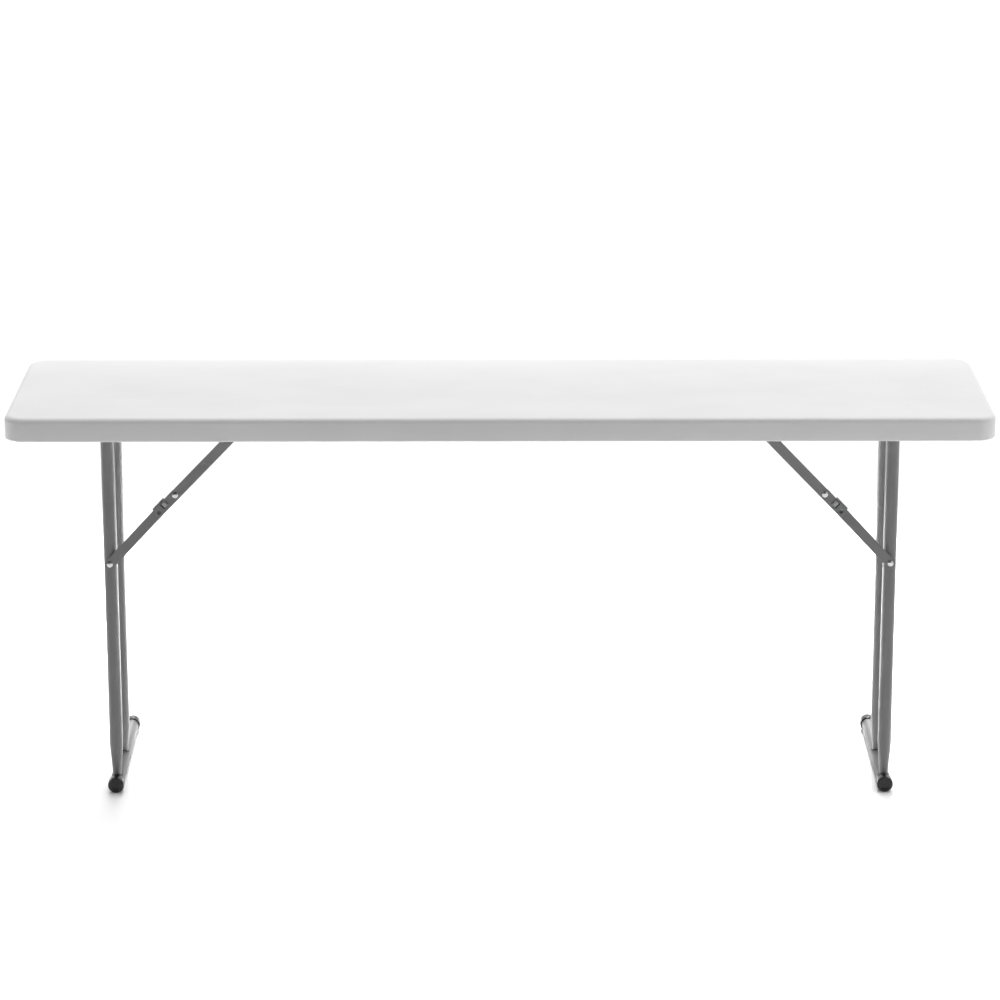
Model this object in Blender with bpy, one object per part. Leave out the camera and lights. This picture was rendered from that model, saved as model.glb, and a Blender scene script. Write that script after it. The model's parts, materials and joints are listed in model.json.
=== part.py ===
"""Folding training table: a blow-moulded plastic top on two tubular steel legs that fold flat.

Every leg is a pair of upright tubes welded to a pivot tube above and a foot tube below, and is
held upright by a two-link brace with a spring lock. Both ends are the same, mirrored in X.

Metres, +Z up. The origin is on the floor under the middle of the top, +X runs along the table
and -Y is the side that the braces are on.
"""
import math

import bmesh
import bpy
from mathutils import Matrix, Vector

# ---- driving dimensions --------------------------------------------------------------------

GAP = 0.0003                    # between pieces that touch or turn in each other

TABLE_LENGTH = 1.8288           # 72 in
TABLE_WIDTH = 0.4572            # 18 in
TABLE_HEIGHT = 0.7366           # 29 in

TOP_DEPTH = 0.04445             # height of the rim, 1.75 in
TOP_CORNER_RADIUS = 0.038       # plan radius of the four corners
TOP_EDGE_RADIUS = 0.010         # rounding of the upper edge
TOP_LIP_RADIUS = 0.003          # rounding of the lower edge
RIM_WIDTH = 0.014
PANEL_DEPTH = 0.0125            # double-walled panel over the recess
SKIN = 0.0025                   # wall of the hollow moulding
RECESS_CORNER_RADIUS = 0.024
VENT_DIAMETER = 0.008           # blow-pin hole in the recess
VENT_FROM_END = 0.060

LEG_TUBE_DIAMETER = 0.0254      # 1 in
LEG_TUBE_WALL = 0.0012
LEG_INSET = 0.1869              # leg axis to the end of the top
TUBE_SPACING = 0.135            # between the two uprights of a leg
SWAGE_DIAMETER = 0.0200         # uprights narrow to this at the foot
SWAGE_LENGTH = 0.062
SWAGE_NECK = 0.010              # straight part of the swaged end above the foot tube

PIVOT_TUBE_DIAMETER = 0.01905   # 3/4 in
PIVOT_TUBE_WALL = 0.0012
STOW_CLEARANCE = 0.0036         # folded upright to the rail's flange over it
PIVOT_TUBE_PROUD = 0.0010       # past the plates that carry it

FOOT_TUBE_DIAMETER = 0.0254     # 1 in
FOOT_TUBE_WALL = 0.0012
FOOT_CLEARANCE = 0.0026         # folded front cap to the rim
FOOT_LENGTH = 0.362             # over the caps
CAP_WALL = 0.0021
CAP_END = 0.0030
CAP_TO_UPRIGHT = 0.0005         # between the front cap and the swaged end beside it
CAP_EDGE_RADIUS = 0.0015

PLATE_SHEET = 0.0015            # side rail and rear bracket
RAIL_CLEARANCE = 0.0031         # rim to the rail's web
RAIL_FLANGE = 0.022
RAIL_OUTER_MARGIN = 0.034       # rail's end beyond the pivot axis
RAIL_INNER_MARGIN = 0.022       # rail's end beyond the brace anchor
WEB_MARGIN = 0.0030             # metal below the pivot's hole
BRACKET_LENGTH = 0.056
BRACKET_FLANGE = 0.024
BRACKET_CLEAR = 0.0187          # rear upright to the rear bracket

BUSH_WALL = 0.0015
BUSH_FLANGE = 0.0027
BUSH_FLANGE_THICKNESS = 0.0015
BUSH_PROUD = 0.0004

BRACE_FROM_PIVOT = 0.2575       # pivot axis down to the rivet on the upright
ANCHOR_FROM_PIVOT = 0.2425      # pivot axis along to the brace's anchor on the rail
BRACE_SET = math.radians(1.0)   # the links lock this far from straight
LINK_WIDTH = 0.0190
LINK_SHEET = 0.0020
LINK_TO_TUBE = 0.0038           # upright to the lower link
LINK_SPACING = 0.0030           # lower link to upper link
LINK_TO_RAIL = 0.0065           # upper link to the rail's web
LINK_TO_SCREW = 0.0005          # folded stop flange to the screw heads over it
TAIL_LENGTH = 0.054             # upper link past the joint rivet
TAIL_CORNER_RADIUS = 0.004

STOP_START = 0.020              # stop flange along the tail, from the joint rivet
STOP_LENGTH = 0.030
STOP_CLEARANCE = 0.0006
STOP_OVERLAP = 0.0015           # of the stop flange and the lower link

BUTTON_FROM_JOINT = 0.0272
BUTTON_OFFSET = 0.0018          # towards the stop flange
BUTTON_LENGTH = 0.0112
BUTTON_WIDTH = 0.0100
BUTTON_PROUD = 0.0025
BUTTON_CLEARANCE = 0.0006
LEAF_THICKNESS = 0.0008
LEAF_ROOT = 0.0110              # from the joint rivet
LEAF_TIP_MARGIN = 0.0020        # past the button
SIGHT_HOLE = 0.0062             # square hole near the tail's end
SIGHT_HOLE_FROM_JOINT = 0.0455
SIGHT_HOLE_OFFSET = -0.0014

RIVET_SHANK_RADIUS = 0.0030
RIVET_HEAD_RADIUS = 0.0056
RIVET_HEAD_HEIGHT = 0.0022
RIVET_TAIL_HEIGHT = 0.0014

SCREW_SHANK_RADIUS = 0.0022
SCREW_HEAD_RADIUS = 0.0042
SCREW_HEAD_HEIGHT = 0.0026
SCREW_REACH = 0.0090            # above the plate's lower face
SCREW_BOSS_WALL = 0.0030
SCREW_EDGE = 0.0095             # from a rail flange's free edge

HEAD_SIDE = 0.3                 # upright side of a rivet or screw head, as a share of its height
HEAD_SHOULDER = 0.9             # a screw head's radius above that side, as a share of the full one
SCREW_FLAT = 0.55               # flat end of a screw head, as a share of its radius
RIVET_CROWN = ((0.45, 1.0), (0.8, 0.75))    # a domed head's rings, as shares of radius and height
RIVET_STAKE = 0.7               # flat end of a rivet's staked tail, as a share of its radius
LOW_HEAD = 0.75                 # height of the anchor rivet's head, as a share of the usual one

TUBE_SIDES = 24
SMALL_SIDES = 16
TINY_SIDES = 10
CORNER_STEPS = 6
EDGE_STEPS = 4

# ---- worked out from them ------------------------------------------------------------------

LEG_X = TABLE_LENGTH / 2 - LEG_INSET
LEG_TUBE_RADIUS = LEG_TUBE_DIAMETER / 2
PIVOT_TUBE_RADIUS = PIVOT_TUBE_DIAMETER / 2
RIM_BOTTOM = TABLE_HEIGHT - TOP_DEPTH
RECESS_CEILING = TABLE_HEIGHT - PANEL_DEPTH
PLATE_TOP = RECESS_CEILING - GAP
PLATE_UNDER = PLATE_TOP - PLATE_SHEET

STOP_REACH = LINK_WIDTH / 2 + STOP_CLEARANCE + LINK_SHEET
STOWED_UPRIGHT = LEG_TUBE_RADIUS + STOW_CLEARANCE
STOWED_LINK = STOP_REACH + LINK_TO_SCREW + SCREW_HEAD_HEIGHT + GAP
PIVOT_Z = PLATE_UNDER - max(STOWED_UPRIGHT, STOWED_LINK)
BUSH_RADIUS = PIVOT_TUBE_RADIUS + GAP + BUSH_WALL
WEB_BOTTOM = PIVOT_Z - BUSH_RADIUS - GAP - WEB_MARGIN

FRONT_EDGE_Y = -TABLE_WIDTH / 2
RAIL_FRONT_Y = FRONT_EDGE_Y + RIM_WIDTH + RAIL_CLEARANCE
RAIL_BACK_Y = RAIL_FRONT_Y + PLATE_SHEET
UPPER_FRONT_Y = RAIL_BACK_Y + LINK_TO_RAIL
UPPER_BACK_Y = UPPER_FRONT_Y + LINK_SHEET
LOWER_FRONT_Y = UPPER_BACK_Y + LINK_SPACING
LOWER_BACK_Y = LOWER_FRONT_Y + LINK_SHEET
FRONT_TUBE_Y = LOWER_BACK_Y + LINK_TO_TUBE + LEG_TUBE_RADIUS
REAR_TUBE_Y = FRONT_TUBE_Y + TUBE_SPACING
BRACKET_FRONT_Y = REAR_TUBE_Y + LEG_TUBE_RADIUS + BRACKET_CLEAR
BRACKET_BACK_Y = BRACKET_FRONT_Y + PLATE_SHEET
LEAF_FRONT_Y = UPPER_BACK_Y + GAP
LEAF_BACK_Y = LEAF_FRONT_Y + LEAF_THICKNESS
STOP_DEPTH = LINK_SPACING + STOP_OVERLAP

CAP_RADIUS = FOOT_TUBE_DIAMETER / 2 + GAP + CAP_WALL
FOOT_Z = CAP_RADIUS
FOOT_FRONT_Y = FRONT_EDGE_Y + RIM_WIDTH + FOOT_CLEARANCE
FOOT_REAR_Y = FOOT_FRONT_Y + FOOT_LENGTH
CAP_LENGTH = FRONT_TUBE_Y - SWAGE_DIAMETER / 2 - CAP_TO_UPRIGHT - FOOT_FRONT_Y

ANCHOR_X = LEG_X - ANCHOR_FROM_PIVOT

SIDES = {"left": -1, "right": 1}
CUTTER = "cutter"


def brace_joint():
    """Return the brace's three pivots in the XZ plane, at the +X end, as (x, z) vectors.

    The links differ in length by what the folded brace has to span, and at rest they meet at
    BRACE_SET from a straight line, bowed outwards. Both follow from the law of cosines.
    """
    low = Vector((LEG_X, PIVOT_Z - BRACE_FROM_PIVOT))
    anchor = Vector((ANCHOR_X, PIVOT_Z))
    span = (anchor - low).length
    difference = BRACE_FROM_PIVOT - ANCHOR_FROM_PIVOT
    bow = (1 - math.cos(BRACE_SET)) / 2
    total = math.sqrt((span ** 2 - difference ** 2 * bow) / (1 - bow))
    lower_length = (total + difference) / 2
    upper_length = (total - difference) / 2
    along = (lower_length ** 2 - upper_length ** 2 + span ** 2) / (2 * span)
    bowed = math.sqrt(lower_length ** 2 - along ** 2)
    direction = (anchor - low) / span
    outwards = Vector((direction.y, -direction.x))
    return low, low + direction * along + outwards * bowed, anchor


BRACE_LOW, BRACE_JOINT, BRACE_ANCHOR = brace_joint()


# ---- scene and mesh helpers ----------------------------------------------------------------

def clear_scene():
    """Remove everything the scene starts with."""
    for thing in list(bpy.context.scene.objects):
        bpy.data.objects.remove(thing, do_unlink=True)


def material(name, colour, roughness, metallic=0.0):
    """Return a plain Principled material."""
    made = bpy.data.materials.new(name)
    made.use_nodes = True
    shader = made.node_tree.nodes["Principled BSDF"]
    shader.inputs["Base Color"].default_value = (*colour, 1.0)
    shader.inputs["Roughness"].default_value = roughness
    shader.inputs["Metallic"].default_value = metallic
    return made


def circle(centre, radius, height, axis, sides):
    """Return a ring of points of a radius round an axis, at a height along it."""
    points = []
    for step in range(sides):
        angle = 2 * math.pi * step / sides
        across, up = radius * math.cos(angle), radius * math.sin(angle)
        if axis == "Y":
            points.append(Vector((centre[0] + across, height, centre[1] + up)))
        else:
            points.append(Vector((centre[0] + across, centre[1] + up, height)))
    return points


def loft(rings, ring_closed=False):
    """Return a bmesh skinned over rings of equal count, capped, or joined end to start."""
    mesh = bmesh.new()
    loops = [[mesh.verts.new(point) for point in ring] for ring in rings]
    pairs = list(zip(loops, loops[1:]))
    if ring_closed:
        pairs.append((loops[-1], loops[0]))
    for first, second in pairs:
        count = len(first)
        for index in range(count):
            after = (index + 1) % count
            mesh.faces.new((first[index], first[after], second[after], second[index]))
    if not ring_closed:
        mesh.faces.new(list(reversed(loops[0])))
        mesh.faces.new(loops[-1])
    bmesh.ops.recalc_face_normals(mesh, faces=mesh.faces)
    return mesh


def turned(profile, centre, axis="Y", sides=SMALL_SIDES, hollow=False):
    """Return a turned solid from (radius, height) pairs; hollow joins the last pair to the first."""
    return loft([circle(centre, radius, height, axis, sides) for radius, height in profile], hollow)


def tube(centre, radius, wall, start, end, axis, sides=TUBE_SIDES):
    """Return a straight tube."""
    inner = radius - wall
    return turned([(radius, start), (radius, end), (inner, end), (inner, start)], centre, axis, sides, True)


def extruded(outline, low_y, high_y):
    """Return a sheet piece whose outline lies in the XZ plane."""
    return loft([[Vector((x, y, z)) for x, z in outline] for y in (low_y, high_y)])


def folded_sheet(outline, low_y, high_y, fold_start, fold_end, depth):
    """Return a sheet piece whose outline from fold_start to fold_end is bent back by depth."""
    mesh = extruded(outline, low_y, high_y)
    mesh.verts.ensure_lookup_table()
    start, end = (mesh.verts[len(outline) + index] for index in (fold_start, fold_end))
    back = next(face for face in mesh.faces if len(face.verts) == len(outline) and start in face.verts)
    bmesh.utils.face_split(back, start, end)
    fold = min((face for face in start.link_faces if end in face.verts), key=lambda face: face.calc_area())
    bent = bmesh.ops.extrude_discrete_faces(mesh, faces=[fold])["faces"]
    bmesh.ops.translate(mesh, vec=(0, depth, 0), verts=bent[0].verts)
    bmesh.ops.recalc_face_normals(mesh, faces=mesh.faces)
    return mesh


def arc(centre, radius, start, end, steps):
    """Return points of an arc in a plane, angles in degrees."""
    points = []
    for step in range(steps + 1):
        angle = math.radians(start + (end - start) * step / steps)
        points.append((centre[0] + radius * math.cos(angle), centre[1] + radius * math.sin(angle)))
    return points


def rounded_rectangle(half_length, half_width, radius, steps=CORNER_STEPS):
    """Return a rectangle with round corners, centred on the origin, anticlockwise."""
    points = []
    for x, y, start in ((1, 1, 0), (-1, 1, 90), (-1, -1, 180), (1, -1, 270)):
        corner = (x * (half_length - radius), y * (half_width - radius))
        points += arc(corner, radius, start, start + 90, steps)
    return points


def add(name, mesh, side=1, finish=None, parent=None, sharp=40):
    """Make an object of a bmesh modelled at the +X end, mirrored where side is -1."""
    if side < 0:
        bmesh.ops.scale(mesh, vec=(-1, 1, 1), verts=mesh.verts)
        bmesh.ops.reverse_faces(mesh, faces=mesh.faces)
    data = bpy.data.meshes.new(name)
    mesh.to_mesh(data)
    mesh.free()
    data.shade_smooth()
    data.set_sharp_from_angle(angle=math.radians(sharp))
    thing = bpy.data.objects.new(name, data)
    bpy.context.scene.collection.objects.link(thing)
    if finish:
        data.materials.append(finish)
    if parent:
        thing.parent = parent
        thing.matrix_parent_inverse = parent.matrix_world.inverted()
    return thing


def boolean(target, mesh, operation="DIFFERENCE", side=1):
    """Cut a bmesh out of an object, or join it on, with an exact Boolean; return the cutter."""
    tool = add(f"{target.name}.{CUTTER}", mesh, side)
    tool.hide_render = True
    tool.display_type = "WIRE"
    step = target.modifiers.new(CUTTER, "BOOLEAN")
    step.operation = operation
    step.solver = "EXACT"
    step.object = tool
    return tool


def pivot_empty(name, x, y, z, side):
    """Return an empty that stands on a joint's axis."""
    empty = bpy.data.objects.new(name, None)
    empty.matrix_world = Matrix.Translation((side * x, y, z))
    empty.empty_display_size = 0.02
    bpy.context.scene.collection.objects.link(empty)
    bpy.context.view_layer.update()
    return empty


# ---- the top -------------------------------------------------------------------------------

def tray(profile, corner_radius, inner_radius):
    """Skin the tray shape of the top: each (inset, height) is one rounded rectangle."""
    rings = []
    for inset, height in profile:
        radius = max(corner_radius - inset, inner_radius)
        outline = rounded_rectangle(TABLE_LENGTH / 2 - inset, TABLE_WIDTH / 2 - inset, radius)
        rings.append([Vector((x, y, height)) for x, y in outline])
    return loft(rings)


def screw_places():
    """Return (name, x, y) of every mounting screw at the +X end."""
    rail_y = RAIL_BACK_Y + RAIL_FLANGE - PLATE_SHEET - SCREW_EDGE
    rail_low = ANCHOR_X - RAIL_INNER_MARGIN + SCREW_EDGE
    rail_high = LEG_X + RAIL_OUTER_MARGIN - SCREW_EDGE
    places = [(f"rail_screw_{index + 1}", x, rail_y)
              for index, x in enumerate((rail_low, (rail_low + rail_high) / 2, rail_high))]
    bracket_y = BRACKET_BACK_Y + (BRACKET_FLANGE - PLATE_SHEET) / 2
    offset = BRACKET_LENGTH / 2 - SCREW_EDGE
    places += [(f"bracket_screw_{index + 1}", LEG_X + offset * sign, bracket_y)
               for index, sign in enumerate((-1, 1))]
    return places


def build_top(finish):
    """Build the hollow top: a rim round a recess, screw bosses and the blow-pin hole."""
    def rounding(radius, start, end, inset, height, steps):
        return [(inset - y, height + x) for x, y in arc((0, 0), radius, start, end, steps)]

    lip = rounding(TOP_LIP_RADIUS, 180, 90, TOP_LIP_RADIUS, RIM_BOTTOM + TOP_LIP_RADIUS, 2)
    edge = rounding(TOP_EDGE_RADIUS, 90, 0, TOP_EDGE_RADIUS, TABLE_HEIGHT - TOP_EDGE_RADIUS, EDGE_STEPS)
    outside = [(RIM_WIDTH, RECESS_CEILING), (RIM_WIDTH, RIM_BOTTOM + TOP_LIP_RADIUS)]
    outside += [(RIM_WIDTH - TOP_LIP_RADIUS, RIM_BOTTOM)] + lip + edge
    top = add("tabletop", tray(outside, TOP_CORNER_RADIUS, RECESS_CORNER_RADIUS), 1, finish)

    inner_edge = rounding(TOP_EDGE_RADIUS - SKIN, 90, 0, TOP_EDGE_RADIUS,
                          TABLE_HEIGHT - TOP_EDGE_RADIUS, EDGE_STEPS // 2)
    inside = [(RIM_WIDTH - SKIN, RECESS_CEILING + SKIN), (RIM_WIDTH - SKIN, RIM_BOTTOM + SKIN),
              (SKIN, RIM_BOTTOM + SKIN)] + inner_edge
    hollow = boolean(top, tray(inside, TOP_CORNER_RADIUS, RECESS_CORNER_RADIUS))
    boss_top = TABLE_HEIGHT - SKIN / 2
    pilot_radius = SCREW_SHANK_RADIUS + GAP
    pilot_top = PLATE_UNDER + SCREW_REACH + GAP
    boss_radius = pilot_radius + SCREW_BOSS_WALL
    for side in SIDES.values():
        for _, x, y in screw_places():
            boss = turned([(boss_radius, RECESS_CEILING), (boss_radius, boss_top)],
                          (x, y), "Z", TINY_SIDES)
            boolean(hollow, boss, side=side)
            pilot = turned([(pilot_radius, RECESS_CEILING - SKIN), (pilot_radius, pilot_top)],
                           (x, y), "Z", TINY_SIDES)
            boolean(top, pilot, side=side)
    vent_radius = VENT_DIAMETER / 2
    vent = turned([(vent_radius, RECESS_CEILING - SKIN), (vent_radius, RECESS_CEILING + 2 * SKIN)],
                  (TABLE_LENGTH / 2 - VENT_FROM_END, 0), "Z", TINY_SIDES)
    boolean(top, vent)


# ---- plates, bushes and screws under the top -----------------------------------------------

def angle_plate(low_x, high_x, web_y, flange):
    """Return a pressed angle: a web whose back face is at web_y, and a flange behind it under the top."""
    outer = web_y - PLATE_SHEET
    free = outer + flange
    section = [(outer, WEB_BOTTOM), (web_y, WEB_BOTTOM), (web_y, PLATE_UNDER), (free, PLATE_UNDER),
               (free, PLATE_TOP), (outer, PLATE_TOP)]
    return loft([[Vector((x, y, z)) for y, z in section] for x in (low_x, high_x)])


def build_plates(name, side, steel):
    """Build the side rail that carries the pivot and the brace, and the rear pivot bracket."""
    hole = BUSH_RADIUS + GAP
    pivot = (LEG_X, PIVOT_Z)
    rail_plate = angle_plate(ANCHOR_X - RAIL_INNER_MARGIN, LEG_X + RAIL_OUTER_MARGIN,
                             RAIL_BACK_Y, RAIL_FLANGE)
    rail = add(f"side_rail_{name}", rail_plate, side, steel)
    boolean(rail, turned([(hole, RAIL_FRONT_Y - SKIN), (hole, RAIL_BACK_Y + SKIN)], pivot), side=side)
    rivet_hole = RIVET_SHANK_RADIUS + GAP
    boolean(rail, turned([(rivet_hole, RAIL_FRONT_Y - SKIN), (rivet_hole, RAIL_BACK_Y + SKIN)],
                         BRACE_ANCHOR), side=side)
    bracket_plate = angle_plate(LEG_X - BRACKET_LENGTH / 2, LEG_X + BRACKET_LENGTH / 2,
                                BRACKET_BACK_Y, BRACKET_FLANGE)
    bracket = add(f"rear_bracket_{name}", bracket_plate, side, steel)
    boolean(bracket, turned([(hole, BRACKET_FRONT_Y - SKIN), (hole, BRACKET_BACK_Y + SKIN)], pivot),
            side=side)
    screw_hole = SCREW_SHANK_RADIUS + GAP
    for screw, x, y in screw_places():
        plate = rail if screw.startswith("rail") else bracket
        cutter = turned([(screw_hole, PLATE_UNDER - SKIN), (screw_hole, PLATE_TOP + SKIN)],
                        (x, y), "Z", TINY_SIDES)
        boolean(plate, cutter, side=side)


def build_bushes(name, side, plastic):
    """Build the two flanged bushes that the pivot tube turns in."""
    bore = PIVOT_TUBE_RADIUS + GAP
    pivot = (LEG_X, PIVOT_Z)
    flange_radius = BUSH_RADIUS + BUSH_FLANGE
    for which, inner_face, outer_face, inwards in (("front", RAIL_BACK_Y, RAIL_FRONT_Y, 1),
                                                   ("rear", BRACKET_FRONT_Y, BRACKET_BACK_Y, -1)):
        flange_low = inner_face + inwards * GAP
        flange_high = flange_low + inwards * BUSH_FLANGE_THICKNESS
        end = outer_face - inwards * BUSH_PROUD
        profile = [(bore, end), (BUSH_RADIUS, end), (BUSH_RADIUS, flange_low),
                   (flange_radius, flange_low), (flange_radius, flange_high), (bore, flange_high)]
        bush = turned(profile, pivot, sides=TUBE_SIDES, hollow=True)
        add(f"pivot_bush_{which}_{name}", bush, side, plastic)


def build_screws(name, side, zinc):
    """Build the pan-head screws that hold the plates to the top."""
    for screw, x, y in screw_places():
        head_top = PLATE_UNDER - GAP
        head_low = head_top - SCREW_HEAD_HEIGHT
        profile = [(SCREW_HEAD_RADIUS * SCREW_FLAT, head_low),
                   (SCREW_HEAD_RADIUS * HEAD_SHOULDER, head_low + SCREW_HEAD_HEIGHT * HEAD_SIDE),
                   (SCREW_HEAD_RADIUS, head_top), (SCREW_SHANK_RADIUS, head_top),
                   (SCREW_SHANK_RADIUS, PLATE_UNDER + SCREW_REACH)]
        add(f"{screw}_{name}", turned(profile, (x, y), "Z", TINY_SIDES), side, zinc)


# ---- leg -----------------------------------------------------------------------------------

def upright(y):
    """Return one upright tube, narrowed at its foot, before its ends are shaped to fit."""
    inner = LEG_TUBE_RADIUS - LEG_TUBE_WALL
    swage = SWAGE_DIAMETER / 2
    swage_inner = swage - LEG_TUBE_WALL
    low = FOOT_Z
    neck = FOOT_Z + FOOT_TUBE_DIAMETER / 2 + SWAGE_NECK
    shoulder = FOOT_Z + FOOT_TUBE_DIAMETER / 2 + SWAGE_LENGTH
    profile = [(swage, low), (swage, neck), (LEG_TUBE_RADIUS, shoulder), (LEG_TUBE_RADIUS, PIVOT_Z),
               (inner, PIVOT_Z), (inner, shoulder), (swage_inner, neck), (swage_inner, low)]
    return turned(profile, (LEG_X, y), "Z", TUBE_SIDES, True)


def rivet_profile(front, back, collars):
    """Return a turned rivet from its front head's seat to its back head's seat.

    Collars are (start, end) stretches along the shank as wide as the heads.
    """
    head = RIVET_HEAD_RADIUS
    shank = RIVET_SHANK_RADIUS
    profile = [(head * wide, front - RIVET_HEAD_HEIGHT * high) for wide, high in RIVET_CROWN]
    profile += [(head, front - RIVET_HEAD_HEIGHT * HEAD_SIDE), (head, front), (shank, front)]
    for start, end in collars:
        profile += [(shank, start), (head, start), (head, end), (shank, end)]
    if back is not None:
        profile += [(shank, back), (head, back), (head * RIVET_STAKE, back + RIVET_TAIL_HEIGHT)]
    return profile


def build_leg(name, side, steel, plastic, zinc):
    """Build one leg: pivot tube, two uprights, foot tube, its caps and the brace's low rivet."""
    parent = pivot_empty(f"leg_pivot_{name}", LEG_X, 0, PIVOT_Z, side)
    pivot = (LEG_X, PIVOT_Z)
    foot = (LEG_X, FOOT_Z)
    add(f"pivot_tube_{name}",
        tube(pivot, PIVOT_TUBE_RADIUS, PIVOT_TUBE_WALL, RAIL_FRONT_Y - PIVOT_TUBE_PROUD,
             BRACKET_BACK_Y + PIVOT_TUBE_PROUD, "Y"), side, steel, parent)
    front_seat = FOOT_FRONT_Y + CAP_END + GAP
    rear_seat = FOOT_REAR_Y - CAP_END - GAP
    add(f"foot_tube_{name}", tube(foot, FOOT_TUBE_DIAMETER / 2, FOOT_TUBE_WALL, front_seat, rear_seat, "Y"),
        side, steel, parent)

    rivet_hole = RIVET_SHANK_RADIUS + GAP
    for which, y in (("front", FRONT_TUBE_Y), ("rear", REAR_TUBE_Y)):
        leg = add(f"{which}_leg_tube_{name}", upright(y), side, steel, parent)
        reach = LEG_TUBE_DIAMETER
        for centre, radius in ((pivot, PIVOT_TUBE_RADIUS + GAP), (foot, FOOT_TUBE_DIAMETER / 2 + GAP)):
            saddle = turned([(radius, y - reach), (radius, y + reach)], centre, sides=TUBE_SIDES)
            boolean(leg, saddle, side=side)
        if which == "front":
            drilled = turned([(rivet_hole, y - reach), (rivet_hole, y + reach)], BRACE_LOW)
            boolean(leg, drilled, side=side)

    pocket = FOOT_TUBE_DIAMETER / 2 + GAP
    for which, face, inwards in (("front", FOOT_FRONT_Y, 1), ("rear", FOOT_REAR_Y, -1)):
        mouth = face + inwards * CAP_LENGTH
        floor = face + inwards * CAP_END
        profile = [(CAP_RADIUS - CAP_EDGE_RADIUS, face), (CAP_RADIUS, face + inwards * CAP_EDGE_RADIUS),
                   (CAP_RADIUS, mouth), (pocket, mouth), (pocket, floor)]
        add(f"foot_cap_{which}_{name}", turned(profile, foot, sides=TUBE_SIDES), side, plastic, parent)

    tube_front = FRONT_TUBE_Y - LEG_TUBE_RADIUS
    spacer = (LOWER_BACK_Y + GAP, tube_front - GAP)
    profile = rivet_profile(LOWER_FRONT_Y - GAP, FRONT_TUBE_Y + LEG_TUBE_RADIUS + GAP, [spacer])
    add(f"brace_low_rivet_{name}", turned(profile, BRACE_LOW), side, zinc, parent)


# ---- brace ---------------------------------------------------------------------------------

def along_link(origin, target):
    """Return a function that turns (along, across) of a link into (x, z), across being outwards."""
    direction = (target - origin).normalized()
    outwards = Vector((-direction.y, direction.x))

    def place(along, across):
        point = origin + direction * along + outwards * across
        return point.x, point.y

    return place


def link_outline(place, length, tail_radius=None):
    """Return a link's outline: a round end at 0, and a round or a square-cornered end at length."""
    half = LINK_WIDTH / 2
    outline = arc((0, 0), half, 90, 270, CORNER_STEPS * 2)
    if tail_radius is None:
        outline += arc((length, 0), half, -90, 90, CORNER_STEPS * 2)
    else:
        corner = length - tail_radius
        outline += arc((corner, -half + tail_radius), tail_radius, -90, 0, CORNER_STEPS // 2)
        outline += arc((corner, half - tail_radius), tail_radius, 0, 90, CORNER_STEPS // 2)
    return [place(along, across) for along, across in outline]


def block_outline(place, low, high, across_low, across_high):
    """Return a rectangle in a link's own directions."""
    return [place(low, across_low), place(high, across_low), place(high, across_high), place(low, across_high)]


def button_block(place, from_joint, clearance, front, back):
    """Return the lock button's block, or the window that it works in."""
    half_length = BUTTON_LENGTH / 2 + clearance
    half_width = BUTTON_WIDTH / 2 + clearance
    middle = from_joint + BUTTON_FROM_JOINT
    outline = block_outline(place, middle - half_length, middle + half_length,
                            BUTTON_OFFSET - half_width, BUTTON_OFFSET + half_width)
    return extruded(outline, front, back)


def build_upper_link(name, side, steel, zinc):
    """Build the upper link with its tail, stop flange, window and holes, and its half of the rivet."""
    parent = pivot_empty(f"upper_link_pivot_{name}", BRACE_ANCHOR.x, UPPER_FRONT_Y, BRACE_ANCHOR.y, side)
    place = along_link(BRACE_ANCHOR, BRACE_JOINT)
    joint_at = (BRACE_JOINT - BRACE_ANCHOR).length
    outline = link_outline(place, joint_at + TAIL_LENGTH, TAIL_CORNER_RADIUS)
    inner = LINK_WIDTH / 2 + STOP_CLEARANCE
    outer = inner + LINK_SHEET
    near = joint_at + STOP_START
    far = near + STOP_LENGTH
    fold_from = len(outline) + 1
    outline += [place(far, LINK_WIDTH / 2), place(far, inner), place(far, outer),
                place(near, outer), place(near, inner), place(near, LINK_WIDTH / 2)]
    link = add(f"upper_link_{name}",
               folded_sheet(outline, UPPER_FRONT_Y, UPPER_BACK_Y, fold_from, fold_from + 3, STOP_DEPTH),
               side, steel, parent)

    rivet_hole = RIVET_SHANK_RADIUS + GAP
    for centre in (BRACE_ANCHOR, BRACE_JOINT):
        boolean(link, turned([(rivet_hole, UPPER_FRONT_Y - SKIN), (rivet_hole, UPPER_BACK_Y + SKIN)], centre),
                side=side)
    boolean(link, button_block(place, joint_at, BUTTON_CLEARANCE, UPPER_FRONT_Y - SKIN, UPPER_BACK_Y + SKIN),
            side=side)
    sight = joint_at + SIGHT_HOLE_FROM_JOINT
    hole = block_outline(place, sight - SIGHT_HOLE / 2, sight + SIGHT_HOLE / 2,
                         SIGHT_HOLE_OFFSET - SIGHT_HOLE / 2, SIGHT_HOLE_OFFSET + SIGHT_HOLE / 2)
    boolean(link, extruded(hole, UPPER_FRONT_Y - SKIN, UPPER_BACK_Y + SKIN), side=side)

    profile = rivet_profile(UPPER_FRONT_Y - GAP, UPPER_BACK_Y + GAP, [])
    profile[-1] = (RIVET_HEAD_RADIUS, UPPER_BACK_Y + GAP + LEAF_THICKNESS)
    add(f"joint_rivet_front_{name}", turned(profile, BRACE_JOINT), side, zinc, parent)


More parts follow.
